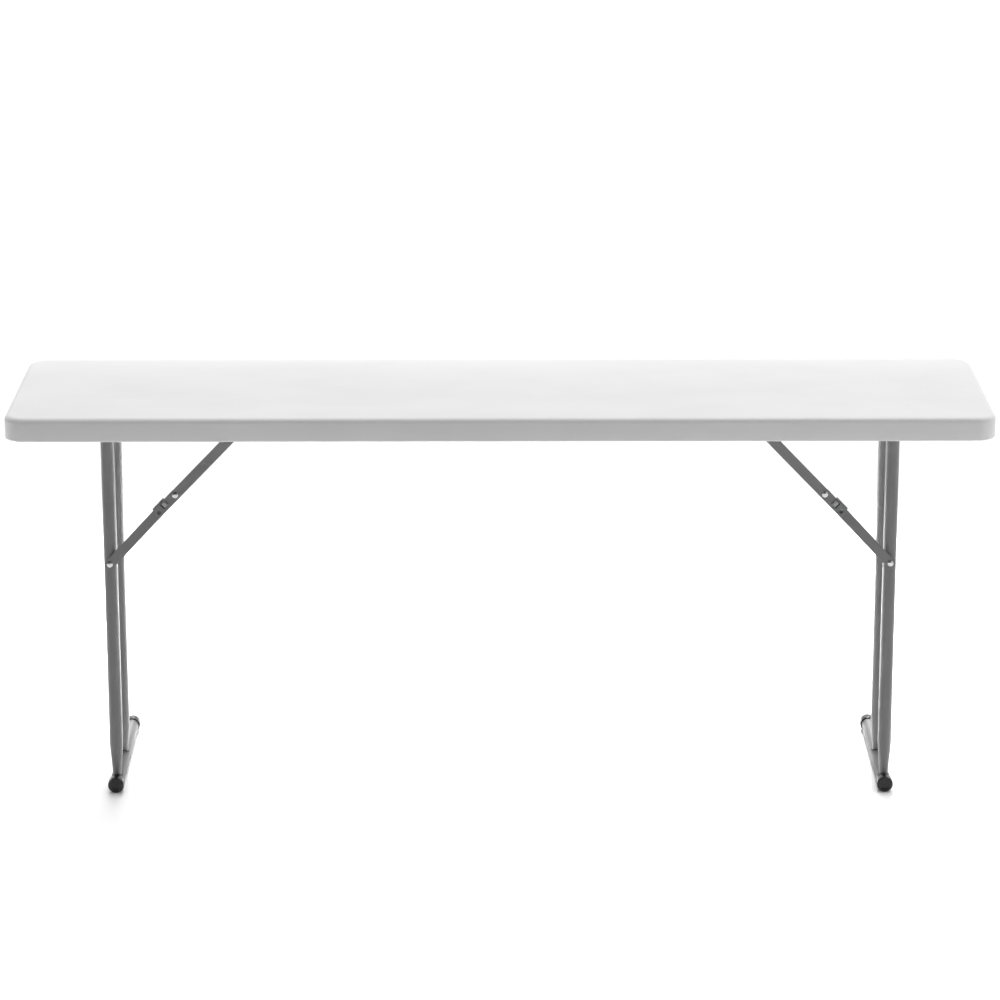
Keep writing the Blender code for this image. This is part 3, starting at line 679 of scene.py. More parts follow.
@dataclass
class TableTop:
    """The blow-moulded top: a smooth face, rounded sides, a rim, and a dimpled recess under it."""

    finishes: Finishes
    edge_radius: float = 10 * MM
    lip_radius: float = 3 * MM
    rim_width: float = 14 * MM
    corner_radius: float = 38 * MM
    root_fillet: float = 2.5 * MM       # where the rim meets the recess
    parting_height: float = 0.25 * MM   # line that the mould's halves leave under the rim
    parting_half: float = 0.6 * MM      # half of that line's width
    corner_steps: int = 20
    pitch: float = 42 * MM              # of the dimples that tie the two walls together
    columns: int = 40
    rows: int = 9
    dimple_radii: tuple[float, ...] = (0.0, 4.6 * MM, 5.7 * MM, 7.6 * MM, 8.8 * MM, 21 * MM)
    dimple_depths: tuple[float, ...] = (6.6 * MM, 6.6 * MM, 5.9 * MM, 0.7 * MM, 0.0, 0.0)
    vent_radius: float = 4 * MM
    vent_from_end: float = 60 * MM
    vent_depth: float = 8 * MM
    vent_lip: float = 1 * MM            # flat ring round the vent's mouth
    vent_softness: float = 0.6 * MM

    def __post_init__(self) -> None:
        """Read the top's box and the height of the recess's ceiling."""
        self.low, self.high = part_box("tabletop")
        self.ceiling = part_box("side_rail_right")[1].z + GAP

    def profile(self) -> Array:
        """Return (inset, height) rows from the face, down the side and round the rim to the ceiling."""
        edge = arc(self.edge_radius, 90, 180, 10, (self.edge_radius, self.high.z - self.edge_radius))
        lip = arc(self.lip_radius, 180, 270, 5, (self.lip_radius, self.low.z + self.lip_radius))
        middle, half = self.rim_width / 2, self.parting_half
        parting = [(middle - half, self.low.z), (middle, self.low.z - self.parting_height),
                   (middle + half, self.low.z)]
        inner = arc(self.lip_radius, 270, 360, 5,
                    (self.rim_width - self.lip_radius, self.low.z + self.lip_radius))
        root = arc(self.root_fillet, 180, 90, 5,
                   (self.rim_width + self.root_fillet, self.ceiling - self.root_fillet))
        return np.vstack([edge, lip, parting, inner, root])

    def rings(self, profile: Array) -> Array:
        """Carry the profile round the top.

        At a corner a point is the corner's centre plus (corner radius - inset) (cos a, sin a).
        """
        half = np.array([self.high.x, self.high.y]) - self.corner_radius
        angles = np.radians(np.linspace(0, 90, self.corner_steps + 1) + np.array([[0], [90], [180], [270]]))
        signs = np.array([(1, 1), (-1, 1), (-1, -1), (1, -1)])
        centres = np.repeat(signs * half, self.corner_steps + 1, axis=0)
        directions = np.stack([np.cos(angles).ravel(), np.sin(angles).ravel()], axis=1)
        radius = (self.corner_radius - profile[:, 0])[:, None, None]
        plan = centres + radius * directions
        height = np.broadcast_to(profile[:, 1, None, None], (*plan.shape[:2], 1))
        return np.concatenate([plan, height], axis=-1)

    def dimples(self) -> Array:
        """Work out the ceiling's dimples as one grid whose lines close round each of them.

        In a cell, a point (i, j) is on ring k = max(|i|, |j|). It lies at the ring's radius in the
        direction that 45 degrees times the smaller over the larger gives, which turns squares into
        circles, and the outermost rings blend back into the cell's square. Its height is the
        ceiling plus the ring's depth.
        """
        last = len(self.dimple_radii) - 1
        steps = np.arange(-last, last + 1)
        i, j = np.meshgrid(steps, steps, indexing="ij")
        ring = np.maximum(abs(i), abs(j))
        wide = abs(i) >= abs(j)
        major, minor = np.where(wide, i, j), np.where(wide, j, i)
        angle = math.pi / 4 * minor / np.maximum(ring, 1) * np.sign(major)
        radius = np.array(self.dimple_radii)[ring] * np.sign(major)
        round_major, round_minor = radius * np.cos(angle), radius * np.sin(angle)
        blend = np.clip((ring - (last - 2)) / 2, 0, 1)
        square = self.pitch / 2 / last
        x = (1 - blend) * np.where(wide, round_major, round_minor) + blend * i * square
        y = (1 - blend) * np.where(wide, round_minor, round_major) + blend * j * square
        z = np.array(self.dimple_depths)[ring]
        across, cell_x = self._cells(self.columns, last)
        up, cell_y = self._cells(self.rows, last)
        pick = np.ix_(across, up)
        middle_x = (cell_x - (self.columns - 1) / 2) * self.pitch
        middle_y = (cell_y - (self.rows - 1) / 2) * self.pitch
        return np.stack([x[pick] + middle_x[:, None], y[pick] + middle_y[None, :], self.ceiling + z[pick]],
                        axis=-1)

    @staticmethod
    def _cells(count: int, last: int) -> tuple[Array, Array]:
        """Number a row of cells' grid lines: each line's place in its cell, and its cell."""
        lines = np.arange(count * 2 * last + 1)
        cell = np.minimum(lines // (2 * last), count - 1)
        return lines - cell * 2 * last, cell

    def build(self) -> None:
        """Build the top as one closed skin."""
        shell = Shell()
        rings = self.rings(self.profile())
        shell.grid(rings).cap(rings[0])
        panel = self.dimples()
        shell.grid(panel, around=False)
        border = np.vstack([panel[:-1, 0], panel[-1, :-1], panel[:0:-1, -1], panel[0, :0:-1]])[:, :2]
        vent_at = (self.high.x - self.vent_from_end, 0.0)
        vent = softened([(self.vent_radius + self.vent_lip, 0), (self.vent_radius, 0),
                         (self.vent_radius, self.vent_depth), (0, self.vent_depth)], self.vent_softness)
        vent += (0, self.ceiling)
        bore = turned(vent, vent_at, Axis.Z, 24)
        shell.grid(bore)
        shell.fill([rings[-1][:, :2], border, bore[0][:, :2]], flat(self.ceiling), 0.0)
        shell.build("moulded_top", "root", self.finishes.top, "top", "tabletop")


# ---- plates, bushes and screws under the top -----------------------------------------------

@dataclass(frozen=True)
class Fold:
    """A sheet's fold: past a line v = start it bends back through a right angle.

    A point at v lies, past the line, at an angle (v - start) / mean radius up to 90 degrees on a
    circle round the fold's centre, and then straight on. A face at depth w has the radius inner
    radius + thickness - w.
    """

    origin: Sequence[float]
    along: Sequence[float]
    across: Sequence[float]
    start: float
    inner_radius: float
    thickness: float
    back: Sequence[float] = (0.0, 1.0, 0.0)

    @property
    def allowance(self) -> float:
        """The length of sheet that the bend takes up."""
        return (self.inner_radius + self.thickness / 2) * math.pi / 2

    def levels(self, steps: int) -> Array:
        """Return the values of v at which the bend's creases lie."""
        return self.start + self.allowance * np.linspace(0, 1, steps + 1)

    def __call__(self, u: Array, v: Array, w: Array) -> Array:
        """Lay (u, v, w) of the flat blank on the folded sheet."""
        past = np.maximum(v - self.start, 0)
        angle = np.minimum(past / (self.inner_radius + self.thickness / 2), math.pi / 2)
        straight = np.maximum(past - self.allowance, 0)
        radius = self.inner_radius + self.thickness - w
        across = np.minimum(v, self.start) + radius * np.sin(angle)
        depth = w + radius * (1 - np.cos(angle)) + straight
        return (np.asarray(self.origin) + u[..., None] * np.asarray(self.along)
                + across[..., None] * np.asarray(self.across) + depth[..., None] * np.asarray(self.back))


def hole(centre: Sequence[float], radius: float, sides: int = 32) -> Array:
    """Return a round hole's loop."""
    return arc(radius, 0, 360, sides, centre)[:-1]


def slot_hole(centre: Sequence[float], length: float, width: float, corner: float) -> Array:
    """Return a rectangular hole's loop, with rounded corners."""
    corners = np.array([(-1, -1), (1, -1), (1, 1), (-1, 1)]) * (length / 2, width / 2)
    return softened(corners, corner, 4, closed=True) + centre


@dataclass
class Mounting:
    """What holds a leg under the top: the side rail, the rear bracket, bushes and screws."""

    finishes: Finishes
    sheet: float = 1.5 * MM
    bend: float = 1.2 * MM
    rail_corner: float = 5 * MM
    edge: float = 0.35 * MM
    screw_hole: float = 2.5 * MM
    anchor_hole: float = 3.3 * MM
    bush_wall: float = 1.5 * MM     # and the thickness of its flange
    screw_flat: float = 0.62        # share of the head's radius that its crown is flat over
    screw_side: float = 0.35        # share of the head's height that its side stands upright
    crest: float = 2.2 * MM         # radii of the screw's thread
    root: float = 1.8 * MM
    thread_start: float = 2.4 * MM  # below it the shank is plain
    point: float = 1.2 * MM
    cross_length: float = 2.5 * MM
    cross_width: float = 0.55 * MM
    cross_depth: float = 1.7 * MM
    cross_side: float = 0.35 * MM   # over which an arm's side falls off
    cross_end: float = 0.9 * MM     # over which its end does

    def angle_plate(self, node: str, name: str, web_holes: Sequence[tuple[Vector, float]],
                    screws: Sequence[str], side: Side) -> None:
        """Build a pressed angle from its blank: the web, the fold and the flange under the top.

        Args:
            node: the right-hand node that it stands for.
            name: the piece's name.
            web_holes: centre and radius of each hole through the web.
            screws: the right-hand nodes of the screws through the flange.
            side: the end of the table.
        """
        low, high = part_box(node)
        length, start = high.x - low.x, high.z - low.z - self.sheet - self.bend
        fold = Fold((low.x, low.y, low.z), (1, 0, 0), (0, 0, 1), start, self.bend, self.sheet)
        flange = high.y - low.y - self.sheet - self.bend
        width = start + fold.allowance + flange
        levels = fold.levels(6)
        rounded = softened([(0, 0), (length, 0), (length, width), (0, width)], self.rail_corner, 6,
                           closed=True)
        lower_left, lower_right, upper_right, upper_left = rounded.reshape(4, -1, 2)
        right = np.stack([np.full(len(levels), length), levels], axis=1)
        left = np.stack([np.zeros(len(levels)), levels[::-1]], axis=1)
        outline = np.vstack([lower_left, lower_right, right, upper_right, upper_left, left])
        first = 2 * len(lower_left)
        second = first + len(levels) + 2 * len(lower_left)
        creases = [(first + step, second + len(levels) - 1 - step) for step in range(len(levels))]
        holes = [hole((at.x - low.x, at.z - low.z), radius, 48) for at, radius in web_holes]
        for at in map(middle_of, screws):
            back = at.y - low.y - self.sheet - self.bend
            holes.append(hole((at.x - low.x, start + fold.allowance + back), self.screw_hole, 24))
        shell = Shell().pressed([outline, *holes], fold, self.sheet, self.edge, creases)
        shell.build(f"{name}_{side.tag}", "root", self.finishes.steel, "frame", twin(node, side), side)

    def bush(self, node: str, side: Side) -> None:
        """Build a flanged bush, its edges broken, from its node's box and the pivot tube's radius."""
        low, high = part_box(node)
        middle = middle_of(node)
        bore, flange_radius = radius_of("pivot_tube_right") + GAP, radius_of(node)
        barrel = bore + self.bush_wall
        front = node.startswith("pivot_bush_front")
        end, face, turn = (low.y, high.y, 1) if front else (high.y, low.y, -1)
        seat = face - turn * self.bush_wall
        profile = softened([(bore, end), (barrel, end), (barrel, seat), (flange_radius, seat),
                            (flange_radius, face), (bore, face)],
                           [0.4 * MM, 0.4 * MM, 0.05 * MM, 0.3 * MM, 0.5 * MM, 0.6 * MM], 3, closed=True)
        shell = Shell().grid(turned(profile, (middle.x, middle.z), Axis.Y, 64), along=True)
        shell.build(twin(node, side).replace("pivot_bush", "flanged_bush"), "root", self.finishes.bushes,
                    "bush", twin(node, side), side)

    def screw(self, node: str, side: Side) -> None:
        """Build a pan-head screw whose head has a cross recess.

        The head's height is a quarter ellipse of the radius past its flat. The recess is a cross
        whose depth falls off linearly at the sides and ends of its arms.
        """
        low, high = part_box(node)
        centre = tuple(middle_of(node))[:2]
        head, seat = (high.x - low.x) / 2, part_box("side_rail_right")[1].z - self.sheet - GAP
        rings = np.linspace(0, 1, 15)[:, None] * head
        angles = np.linspace(0, 2 * math.pi, 48, endpoint=False)[None, :]
        x, y = rings * np.cos(angles), rings * np.sin(angles)
        past = np.clip((rings / head - self.screw_flat) / (1 - self.screw_flat), 0, 1)
        domed = self.screw_side + (1 - self.screw_side) * np.sqrt(1 - past ** 2)
        height = (seat - low.z) * domed * np.ones_like(angles)
        near, far = np.minimum(abs(x), abs(y)), np.maximum(abs(x), abs(y))
        arms = np.clip((self.cross_width - near) / self.cross_side + 0.5, 0, 1)
        ends = np.clip((self.cross_length - far) / self.cross_end, 0, 1)
        recess = self.cross_depth * arms * ends
        crown = np.stack([centre[0] + x, centre[1] + y, seat - height + recess], axis=-1)
        turns = np.arange(0, 15)
        stem = np.stack([np.where(turns % 2, self.root, self.crest),
                         np.linspace(seat + self.thread_start, high.z - self.point, len(turns))], axis=1)
        body = np.vstack([[(head, seat), (self.crest, seat)], stem, [(0, high.z)]])
        shell = Shell().grid(crown).grid(np.concatenate([crown[-1:], turned(body, centre, Axis.Z, 48)]))
        shell.build(twin(node, side).replace("screw", "pan_screw"), "root", self.finishes.zinc, "zinc",
                    twin(node, side), side, sharp=50)

    def build(self, side: Side) -> None:
        """Build the mounting of one leg."""
        pivot, anchor = joint_place("leg_fold_right"), joint_place("upper_link_turn_right")
        bush_hole = radius_of("pivot_tube_right") + self.bush_wall + 2 * GAP
        rail_screws = [f"rail_screw_{number}_right" for number in (1, 2, 3)]
        bracket_screws = [f"bracket_screw_{number}_right" for number in (1, 2)]
        self.angle_plate("side_rail_right", "pressed_side_rail",
                         [(pivot, bush_hole), (anchor, self.anchor_hole)], rail_screws, side)
        self.angle_plate("rear_bracket_right", "pressed_rear_bracket", [(pivot, bush_hole)],
                         bracket_screws, side)
        for node in ("pivot_bush_front_right", "pivot_bush_rear_right"):
            self.bush(node, side)
        for node in rail_screws + bracket_screws:
            self.screw(node, side)


# ---- legs ----------------------------------------------------------------------------------

@dataclass
class Leg:
    """A leg: pivot tube, two uprights narrowed at the foot, foot tube, feet and weld beads."""

    finishes: Finishes
    wall: float = 1.2 * MM
    neck_radius: float = 8.6 * MM
    neck: float = 6 * MM            # straight end above the foot tube
    shoulder: float = 62 * MM       # where the narrowing starts, above the foot tube
    sides: int = 64
    weld: float = 2.1 * MM
    weld_pitch: float = 3.2 * MM
    weld_ripple: float = 0.10       # share of the bead's radius
    broken_edge: float = 0.35 * MM
    cap_end: float = 3 * MM
    dish: float = 0.7 * MM          # how far the foot's end is dished
    dish_radii: tuple[float, float] = (7.5 * MM, 9.5 * MM)
    groove: float = 17.6 * MM       # where the groove round the foot starts
    groove_depth: float = 0.35 * MM

    def __post_init__(self) -> None:
        """Read where the leg's tubes lie."""
        self.pivot = joint_place("leg_fold_right")
        self.pivot_radius = radius_of("pivot_tube_right")
        self.foot_radius = radius_of("foot_tube_right")
        self.foot_height = middle_of("foot_tube_right").z

    def straight_tube(self, node: str, name: str, finish: bpy.types.Material, side: Side) -> None:
        """Build a straight tube along Y, bored right through, with broken edges."""
        low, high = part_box(node)
        middle, radius = middle_of(node), radius_of(node)
        inner = radius - self.wall
        profile = softened([(inner, low.y), (radius, low.y), (radius, high.y), (inner, high.y)],
                           self.broken_edge, 3, closed=True)
        shell = Shell().grid(turned(profile, (middle.x, middle.z), Axis.Y, self.sides), along=True)
        shell.build(f"{name}_{side.tag}", f"leg_{side.tag}", finish, "frame", twin(node, side), side)

    def _angles(self, radius: float) -> Array:
        """Space angles so that some fall where the pivot tube's cut meets the upright's flat end."""
        edge = math.acos(min((self.pivot_radius + GAP) / radius, 1.0))
        quarter = np.concatenate([np.linspace(0, edge, 8, endpoint=False),
                                  np.linspace(edge, math.pi / 2, 10, endpoint=False)])
        half = np.concatenate([quarter, math.pi - quarter[:0:-1], [math.pi / 2]])
        half = np.sort(np.append(half, math.pi))[:-1]
        return np.concatenate([half, half + math.pi])

    def _saddle_top(self, x: Array) -> Array:
        """Height of the upright's top: level, less a half-round cut for the pivot tube."""
        cut = self.pivot_radius + GAP
        return self.pivot.z - np.sqrt(np.maximum(cut ** 2 - x ** 2, 0))

    def _saddle_foot(self, x: Array) -> Array:
        """Height of the upright's end on the foot tube, at x from the leg's plane."""
        cut = self.foot_radius + GAP
        return self.foot_height + np.sqrt(np.maximum(cut ** 2 - x ** 2, 0))

    def upright(self, node: str, name: str, side: Side) -> None:
        """Build an upright tube, both its walls, coped at each end.

        Its radius goes from the neck's to the tube's along s - sin(2 pi s) / 20, s being the share
        of the height; the end rows lie on the foot tube's and the pivot tube's surfaces.
        """
        low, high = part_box(node)
        middle, radius = (low.y + high.y) / 2, (high.y - low.y) / 2
        angles = self._angles(radius)
        neck = self.foot_height + self.foot_radius + self.neck
        shoulder = self.foot_height + self.foot_radius + self.shoulder
        share = np.linspace(0, 1, 17)
        cone = neck + (shoulder - neck) * share
        eased = share - np.sin(2 * math.pi * share) / 20
        cone_radius = self.neck_radius + (radius - self.neck_radius) * eased
        straight = np.linspace(shoulder, self.pivot.z - 2 * radius, 9)[1:]
        heights, radii = np.append(cone, straight), np.append(cone_radius, np.full(len(straight), radius))

        def wall(inset: float) -> Array:
            size = (radii - inset)[:, None]
            x, y = size * np.cos(angles), size * np.sin(angles)
            z = np.broadcast_to(heights[:, None], x.shape)
            middle_rows = np.stack([x, y, z], axis=-1)
            foot = np.stack([x[0], y[0], self._saddle_foot(x[0])], axis=-1)
            top = np.stack([x[-1], y[-1], self._saddle_top(x[-1])], axis=-1)
            return np.concatenate([foot[None], middle_rows, top[None]])

        points = np.concatenate([wall(0), wall(self.wall)[::-1]]) + (self.pivot.x, middle, 0)
        shell = Shell().grid(points, along=True)
        shell.build(f"{name}_{side.tag}", f"leg_{side.tag}", self.finishes.steel, "frame",
                    twin(node, side), side)

    def welds(self, node: str, name: str, side: Side) -> None:
        """Build an upright's two weld beads, one round the foot tube's joint, one round the pivot's.

        The lower path is the neck's circle laid on the foot tube; the upper one runs down and up
        the pivot tube's lower half on both sides of the upright, and straight across between.
        """
        low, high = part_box(node)
        middle, radius = (low.y + high.y) / 2, (high.y - low.y) / 2
        turn = np.linspace(0, 2 * math.pi, 144, endpoint=False)
        x, y = self.neck_radius * np.cos(turn), self.neck_radius * np.sin(turn)
        foot = np.stack([x + self.pivot.x, y + middle,
                         self.foot_height + np.sqrt(self.foot_radius ** 2 - x ** 2)], axis=-1)
        away = np.stack([np.cos(turn), np.sin(turn), 0.6 * np.ones_like(turn)], axis=-1)
        lower = bead(foot, away, self.weld, self.weld_ripple, self.weld_pitch)
        down = np.linspace(math.pi, 2 * math.pi, 40)
        x, z = self.pivot_radius * np.cos(down), self.pivot_radius * np.sin(down)
        reach = np.sqrt(radius ** 2 - x ** 2)
        cross = np.linspace(-1, 1, 14)[1:-1] * reach[0]
        level = np.zeros_like(cross)
        path = np.concatenate([np.stack([x, -reach, z], axis=-1),
                               np.stack([level + x[-1], cross, level], axis=-1),
                               np.stack([x, reach, z], axis=-1)[::-1],
                               np.stack([level + x[0], -cross, level], axis=-1)])
        away = np.stack([path[:, 0], np.sign(path[:, 1]) * (abs(path[:, 2]) + 1 * MM), path[:, 2] + 1 * MM],
                        axis=-1)
        upper = bead(path + (self.pivot.x, middle, self.pivot.z), away, self.weld, self.weld_ripple,
                     self.weld_pitch)
        for part, points in (("foot", lower), ("pivot", upper)):
            # the beads' dark coat is painted shadow at the joints
            Shell().grid(points, along=True).build(f"{name}_{part}_weld_{side.tag}", f"leg_{side.tag}",
                                                   self.finishes.weld, "frame", None, side, sharp=70)

    def foot(self, node: str, name: str, side: Side) -> None:
        """Build a plastic foot: a dished end, a rounded edge, a groove round it and a pocket."""
        low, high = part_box(node)
        radius, pocket, length = radius_of(node), self.foot_radius + GAP, high.y - low.y
        face, turn = (low.y, 1) if node.startswith("foot_cap_front") else (high.y, -1)
        inner = radius - self.groove_depth
        corners = [(0, self.dish), (self.dish_radii[0], self.dish), (self.dish_radii[1], 0), (radius, 0),
                   (radius, self.groove), (inner, self.groove + 0.3 * MM), (inner, self.groove + 0.9 * MM),
                   (radius, self.groove + 1.2 * MM), (radius, length), (pocket, length),
                   (pocket, self.cap_end), (0, self.cap_end)]
        softness = np.array([0, 2, 1.5, 2, 0.2, 0.2, 0.2, 0.2, 0.7, 0.3, 0.5, 0]) * MM
        outside = softened(corners, softness, 5)
        profile = np.stack([outside[:, 0], face + turn * outside[:, 1]], axis=1)
        shell = Shell().grid(turned(profile, (self.pivot.x, self.foot_height), Axis.Y, self.sides))
        shell.build(f"{name}_{side.tag}", f"leg_{side.tag}", self.finishes.feet, "cap",
                    twin(node, side), side)

    def build(self, side: Side) -> None:
        """Build one leg."""
        self.straight_tube("pivot_tube_right", "pivot_axle", self.finishes.steel, side)
        # the floor tube's darker coat is painted shade
        self.straight_tube("foot_tube_right", "floor_tube", self.finishes.floor_steel, side)
        for which in ("front", "rear"):
            self.upright(f"{which}_leg_tube_right", f"{which}_upright", side)
            self.welds(f"{which}_leg_tube_right", which, side)
            self.foot(f"foot_cap_{which}_right", f"{which}_foot_plug", side)


# ---- brace ---------------------------------------------------------------------------------

@dataclass
class Brace:
    """A two-link brace: straps, lock tongue and rivets."""

    finishes: Finishes
    width: float = 19 * MM
    sheet: float = 2 * MM
    edge: float = 0.4 * MM
    tail: float = 54 * MM           # upper strap past the joint
    tail_corner: float = 4 * MM
    rivet_hole: float = 3.3 * MM
    stop_start: float = 20 * MM
    stop_length: float = 30 * MM
    stop_clearance: float = 0.6 * MM
    window_middle: float = 27.2 * MM
    window_offset: float = 1.8 * MM
    window: tuple[float, float] = (12.4 * MM, 11.2 * MM)
    sight_middle: float = 45.5 * MM
    sight_offset: float = -1.4 * MM
    sight: float = 6.2 * MM
    catch: float = 10 * MM          # window in the lower strap
    leaf: float = 0.8 * MM
    leaf_span: tuple[float, float] = (11 * MM, 34.8 * MM)   # past the joint
    tongue: float = 9.6 * MM        # width of the leaf and of the button
    button_start: float = 21.6 * MM     # past the joint
    button_length: float = 9.2 * MM
    button_fall: float = 1.1 * MM   # how far the button's face slopes down
    button_lip: float = 0.5 * MM    # how far its near edge is rounded down
    shank: float = 3 * MM           # radius
    dip: float = 0.20               # share of the dome's height that its middle dips by
    stake_height: float = 1.4 * MM
    stake_spread: float = 0.92      # share of the head's radius

    def __post_init__(self) -> None:
        """Find the brace's three pivots and the directions along and across its upper strap."""
        self.low = joint_place("lower_link_turn_right")
        self.anchor = joint_place("upper_link_turn_right")
        self.joint = middle_of("joint_rivet_front_right")

    def strap_surface(self, node: str, start: Vector, end: Vector, fold_at: float) -> Fold:
        """Return the surface of a strap that runs from one pivot to another, with its fold."""
        along = Vector((end.x - start.x, 0, end.z - start.z)).normalized()
        across = Vector((-along.z, 0, along.x))
        return Fold((start.x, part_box(node)[0].y, start.z), tuple(along), tuple(across), fold_at,
                    self.stop_clearance, self.sheet)

    def upper_strap(self, side: Side) -> None:
        """Build the upper strap: a round end, a long tail with the window, and the folded stop."""
        reach = math.hypot(self.joint.x - self.anchor.x, self.joint.z - self.anchor.z)
        half = self.width / 2
        surface = self.strap_surface("upper_link_right", self.anchor, self.joint, half)
        low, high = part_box("upper_link_right")
        tab = half + surface.allowance + (high.y - low.y) - self.sheet - self.stop_clearance
        levels = surface.levels(6)
        near, far = reach + self.stop_start, reach + self.stop_start + self.stop_length
        corner = reach + self.tail - self.tail_corner
        tip = softened([(far, levels[-1]), (far, tab), (near, tab), (near, levels[-1])],
                       [0, 1.6 * MM, 1.6 * MM, 0], 5)[1:-1]
        strip = np.vstack([arc(half, 90, 270, 24),
                           arc(self.tail_corner, -90, 0, 8, (corner, self.tail_corner - half)),
                           arc(self.tail_corner, 0, 90, 8, (corner, half - self.tail_corner))[:-1]])
        outline = np.vstack([strip, np.stack([np.full(len(levels), far), levels], axis=1), tip,
                             np.stack([np.full(len(levels), near), levels[::-1]], axis=1)])
        first = len(strip)
        second = first + len(levels) + len(tip)
        creases = [(first + step, second + len(levels) - 1 - step) for step in range(len(levels))]
        window = slot_hole((reach + self.window_middle, self.window_offset), *self.window, 1.2 * MM)
        sight = slot_hole((reach + self.sight_middle, self.sight_offset), self.sight, self.sight, 0.7 * MM)
        holes = [hole((0, 0), self.rivet_hole), hole((reach, 0), self.rivet_hole), window, sight]
        shell = Shell().pressed([outline, *holes], surface, self.sheet, self.edge, creases)
        shell.build(f"upper_strap_{side.tag}", f"upper_link_{side.tag}", self.finishes.steel, "frame",
                    f"upper_link_{side.tag}", side)

    def lower_strap(self, side: Side) -> None:
        """Build the lower strap: two round ends and the window that the lock drops into."""
        reach = math.hypot(self.joint.x - self.low.x, self.joint.z - self.low.z)
        half = self.width / 2
        surface = self.strap_surface("lower_link_right", self.low, self.joint, self.width)
        outline = np.vstack([arc(half, 90, 270, 24), arc(half, -90, 90, 24, (reach, 0))])
        window = slot_hole((reach - self.window_middle, -self.window_offset), self.catch, self.catch,
                           1.2 * MM)
        holes = [hole((0, 0), self.rivet_hole), hole((reach, 0), self.rivet_hole), window]
        shell = Shell().pressed([outline, *holes], surface, self.sheet, self.edge)
        shell.build(f"lower_strap_{side.tag}", f"lower_link_{side.tag}", self.finishes.steel, "frame",
                    f"lower_link_{side.tag}", side)

    def lock_tongue(self, side: Side) -> None:
        """Build the lock's spring leaf and its button, which slopes down towards the tail's end."""
        reach = math.hypot(self.joint.x - self.anchor.x, self.joint.z - self.anchor.z)
        low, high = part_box("lock_spring_right")
        surface = self.strap_surface("lock_spring_right", self.anchor, self.joint, self.width)
        under = high.y - low.y - self.leaf
        start, end = self.leaf_span
        blade = slot_hole((reach + (start + end) / 2, self.window_offset), end - start, self.tongue, 1.5 * MM)
        strip = Shell().pressed([blade], lambda u, v, w: surface(u, v, w + under), self.leaf, 0.15 * MM)
        # the leaf's near-black colour is painted shade in the gap behind the button
        strip.build(f"lock_leaf_{side.tag}", f"lock_{side.tag}", self.finishes.spring, "zinc", None, side)
        near, length, depth = reach + self.button_start, self.button_length, under - GAP
        button = slot_hole((near + length / 2, self.window_offset), length, self.tongue, 1.3 * MM)

        def sloped(u: Array, v: Array, w: Array) -> Array:
            share = np.clip((u - near) / length, 0, 1)
            sunk = self.button_fall * share ** 2 + self.button_lip * (1 - share) ** 4
            return surface(u, v, w + sunk * (1 - w / depth))

        shell = Shell().pressed([button], sloped, depth, 0.5 * MM)
        # the button's darker zinc is painted shade
        shell.build(f"lock_button_{side.tag}", f"lock_{side.tag}", self.finishes.button, "zinc",
                    f"lock_spring_{side.tag}", side)

    def rivet(self, node: str, name: str, body: str, centre: Vector,
              collars: Sequence[tuple[float, float]], stake: bool, head_height: float, side: Side) -> None:
        """Build a rivet: a domed head in front, a shank with collars, and a staked end behind.

        The dome's height falls off as 1 - (r/R)^2 above a low upright side, less a bell-shaped dip
        at the middle that the drive leaves.

        Args:
            node: the right-hand node that it stands for.
            name: the piece's name.
            body: the body that it rides on, less the side.
            centre: a point on its axis.
            collars: (start, end) stretches that are as wide as the head, from the front face.
            stake: whether the back end is spread over its seat.
            head_height: height of the domed head; nothing leaves a flat collar.
            side: the end of the table.
        """
        low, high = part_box(node)
        radius, shank = (high.x - low.x) / 2, self.shank
        if head_height:
            share = np.linspace(0, 1, 16)
            rise = 0.25 + 0.75 * (1 - share ** 2) - self.dip * np.exp(-(share / 0.30) ** 2)
            rows = [np.stack([share * radius, low.y + head_height * (1 - rise / rise.max())], axis=1),
                    [(radius, low.y + head_height), (shank, low.y + head_height)]]
        else:
            rows = [softened([(0, low.y), (radius, low.y), (radius, low.y + 0.4 * MM)], 0.2 * MM, 3)]
        for start, end in collars:
            rows.append(softened([(shank, start), (radius, start), (radius, end), (shank, end)], 0.2 * MM, 3))
        if stake:
            rows.append([(shank, high.y - self.stake_height)])
            share = np.linspace(1, 0, 9)
            sunk = self.stake_height * 0.8 * (1 - np.sqrt(1 - share ** 2))
            sunk += 0.3 * MM * np.exp(-(share / 0.35) ** 2)
            rows.append(np.stack([self.stake_spread * radius * share, high.y - sunk], axis=1))
        else:
            rows.append([(0, high.y)])
        profile = np.vstack(rows)
        shell = Shell().grid(turned(profile, (centre.x, centre.z), Axis.Y, 48))
        shell.build(f"{name}_{side.tag}", body if body == "root" else f"{body}_{side.tag}",
                    self.finishes.zinc, "zinc", twin(node, side), side, sharp=45)

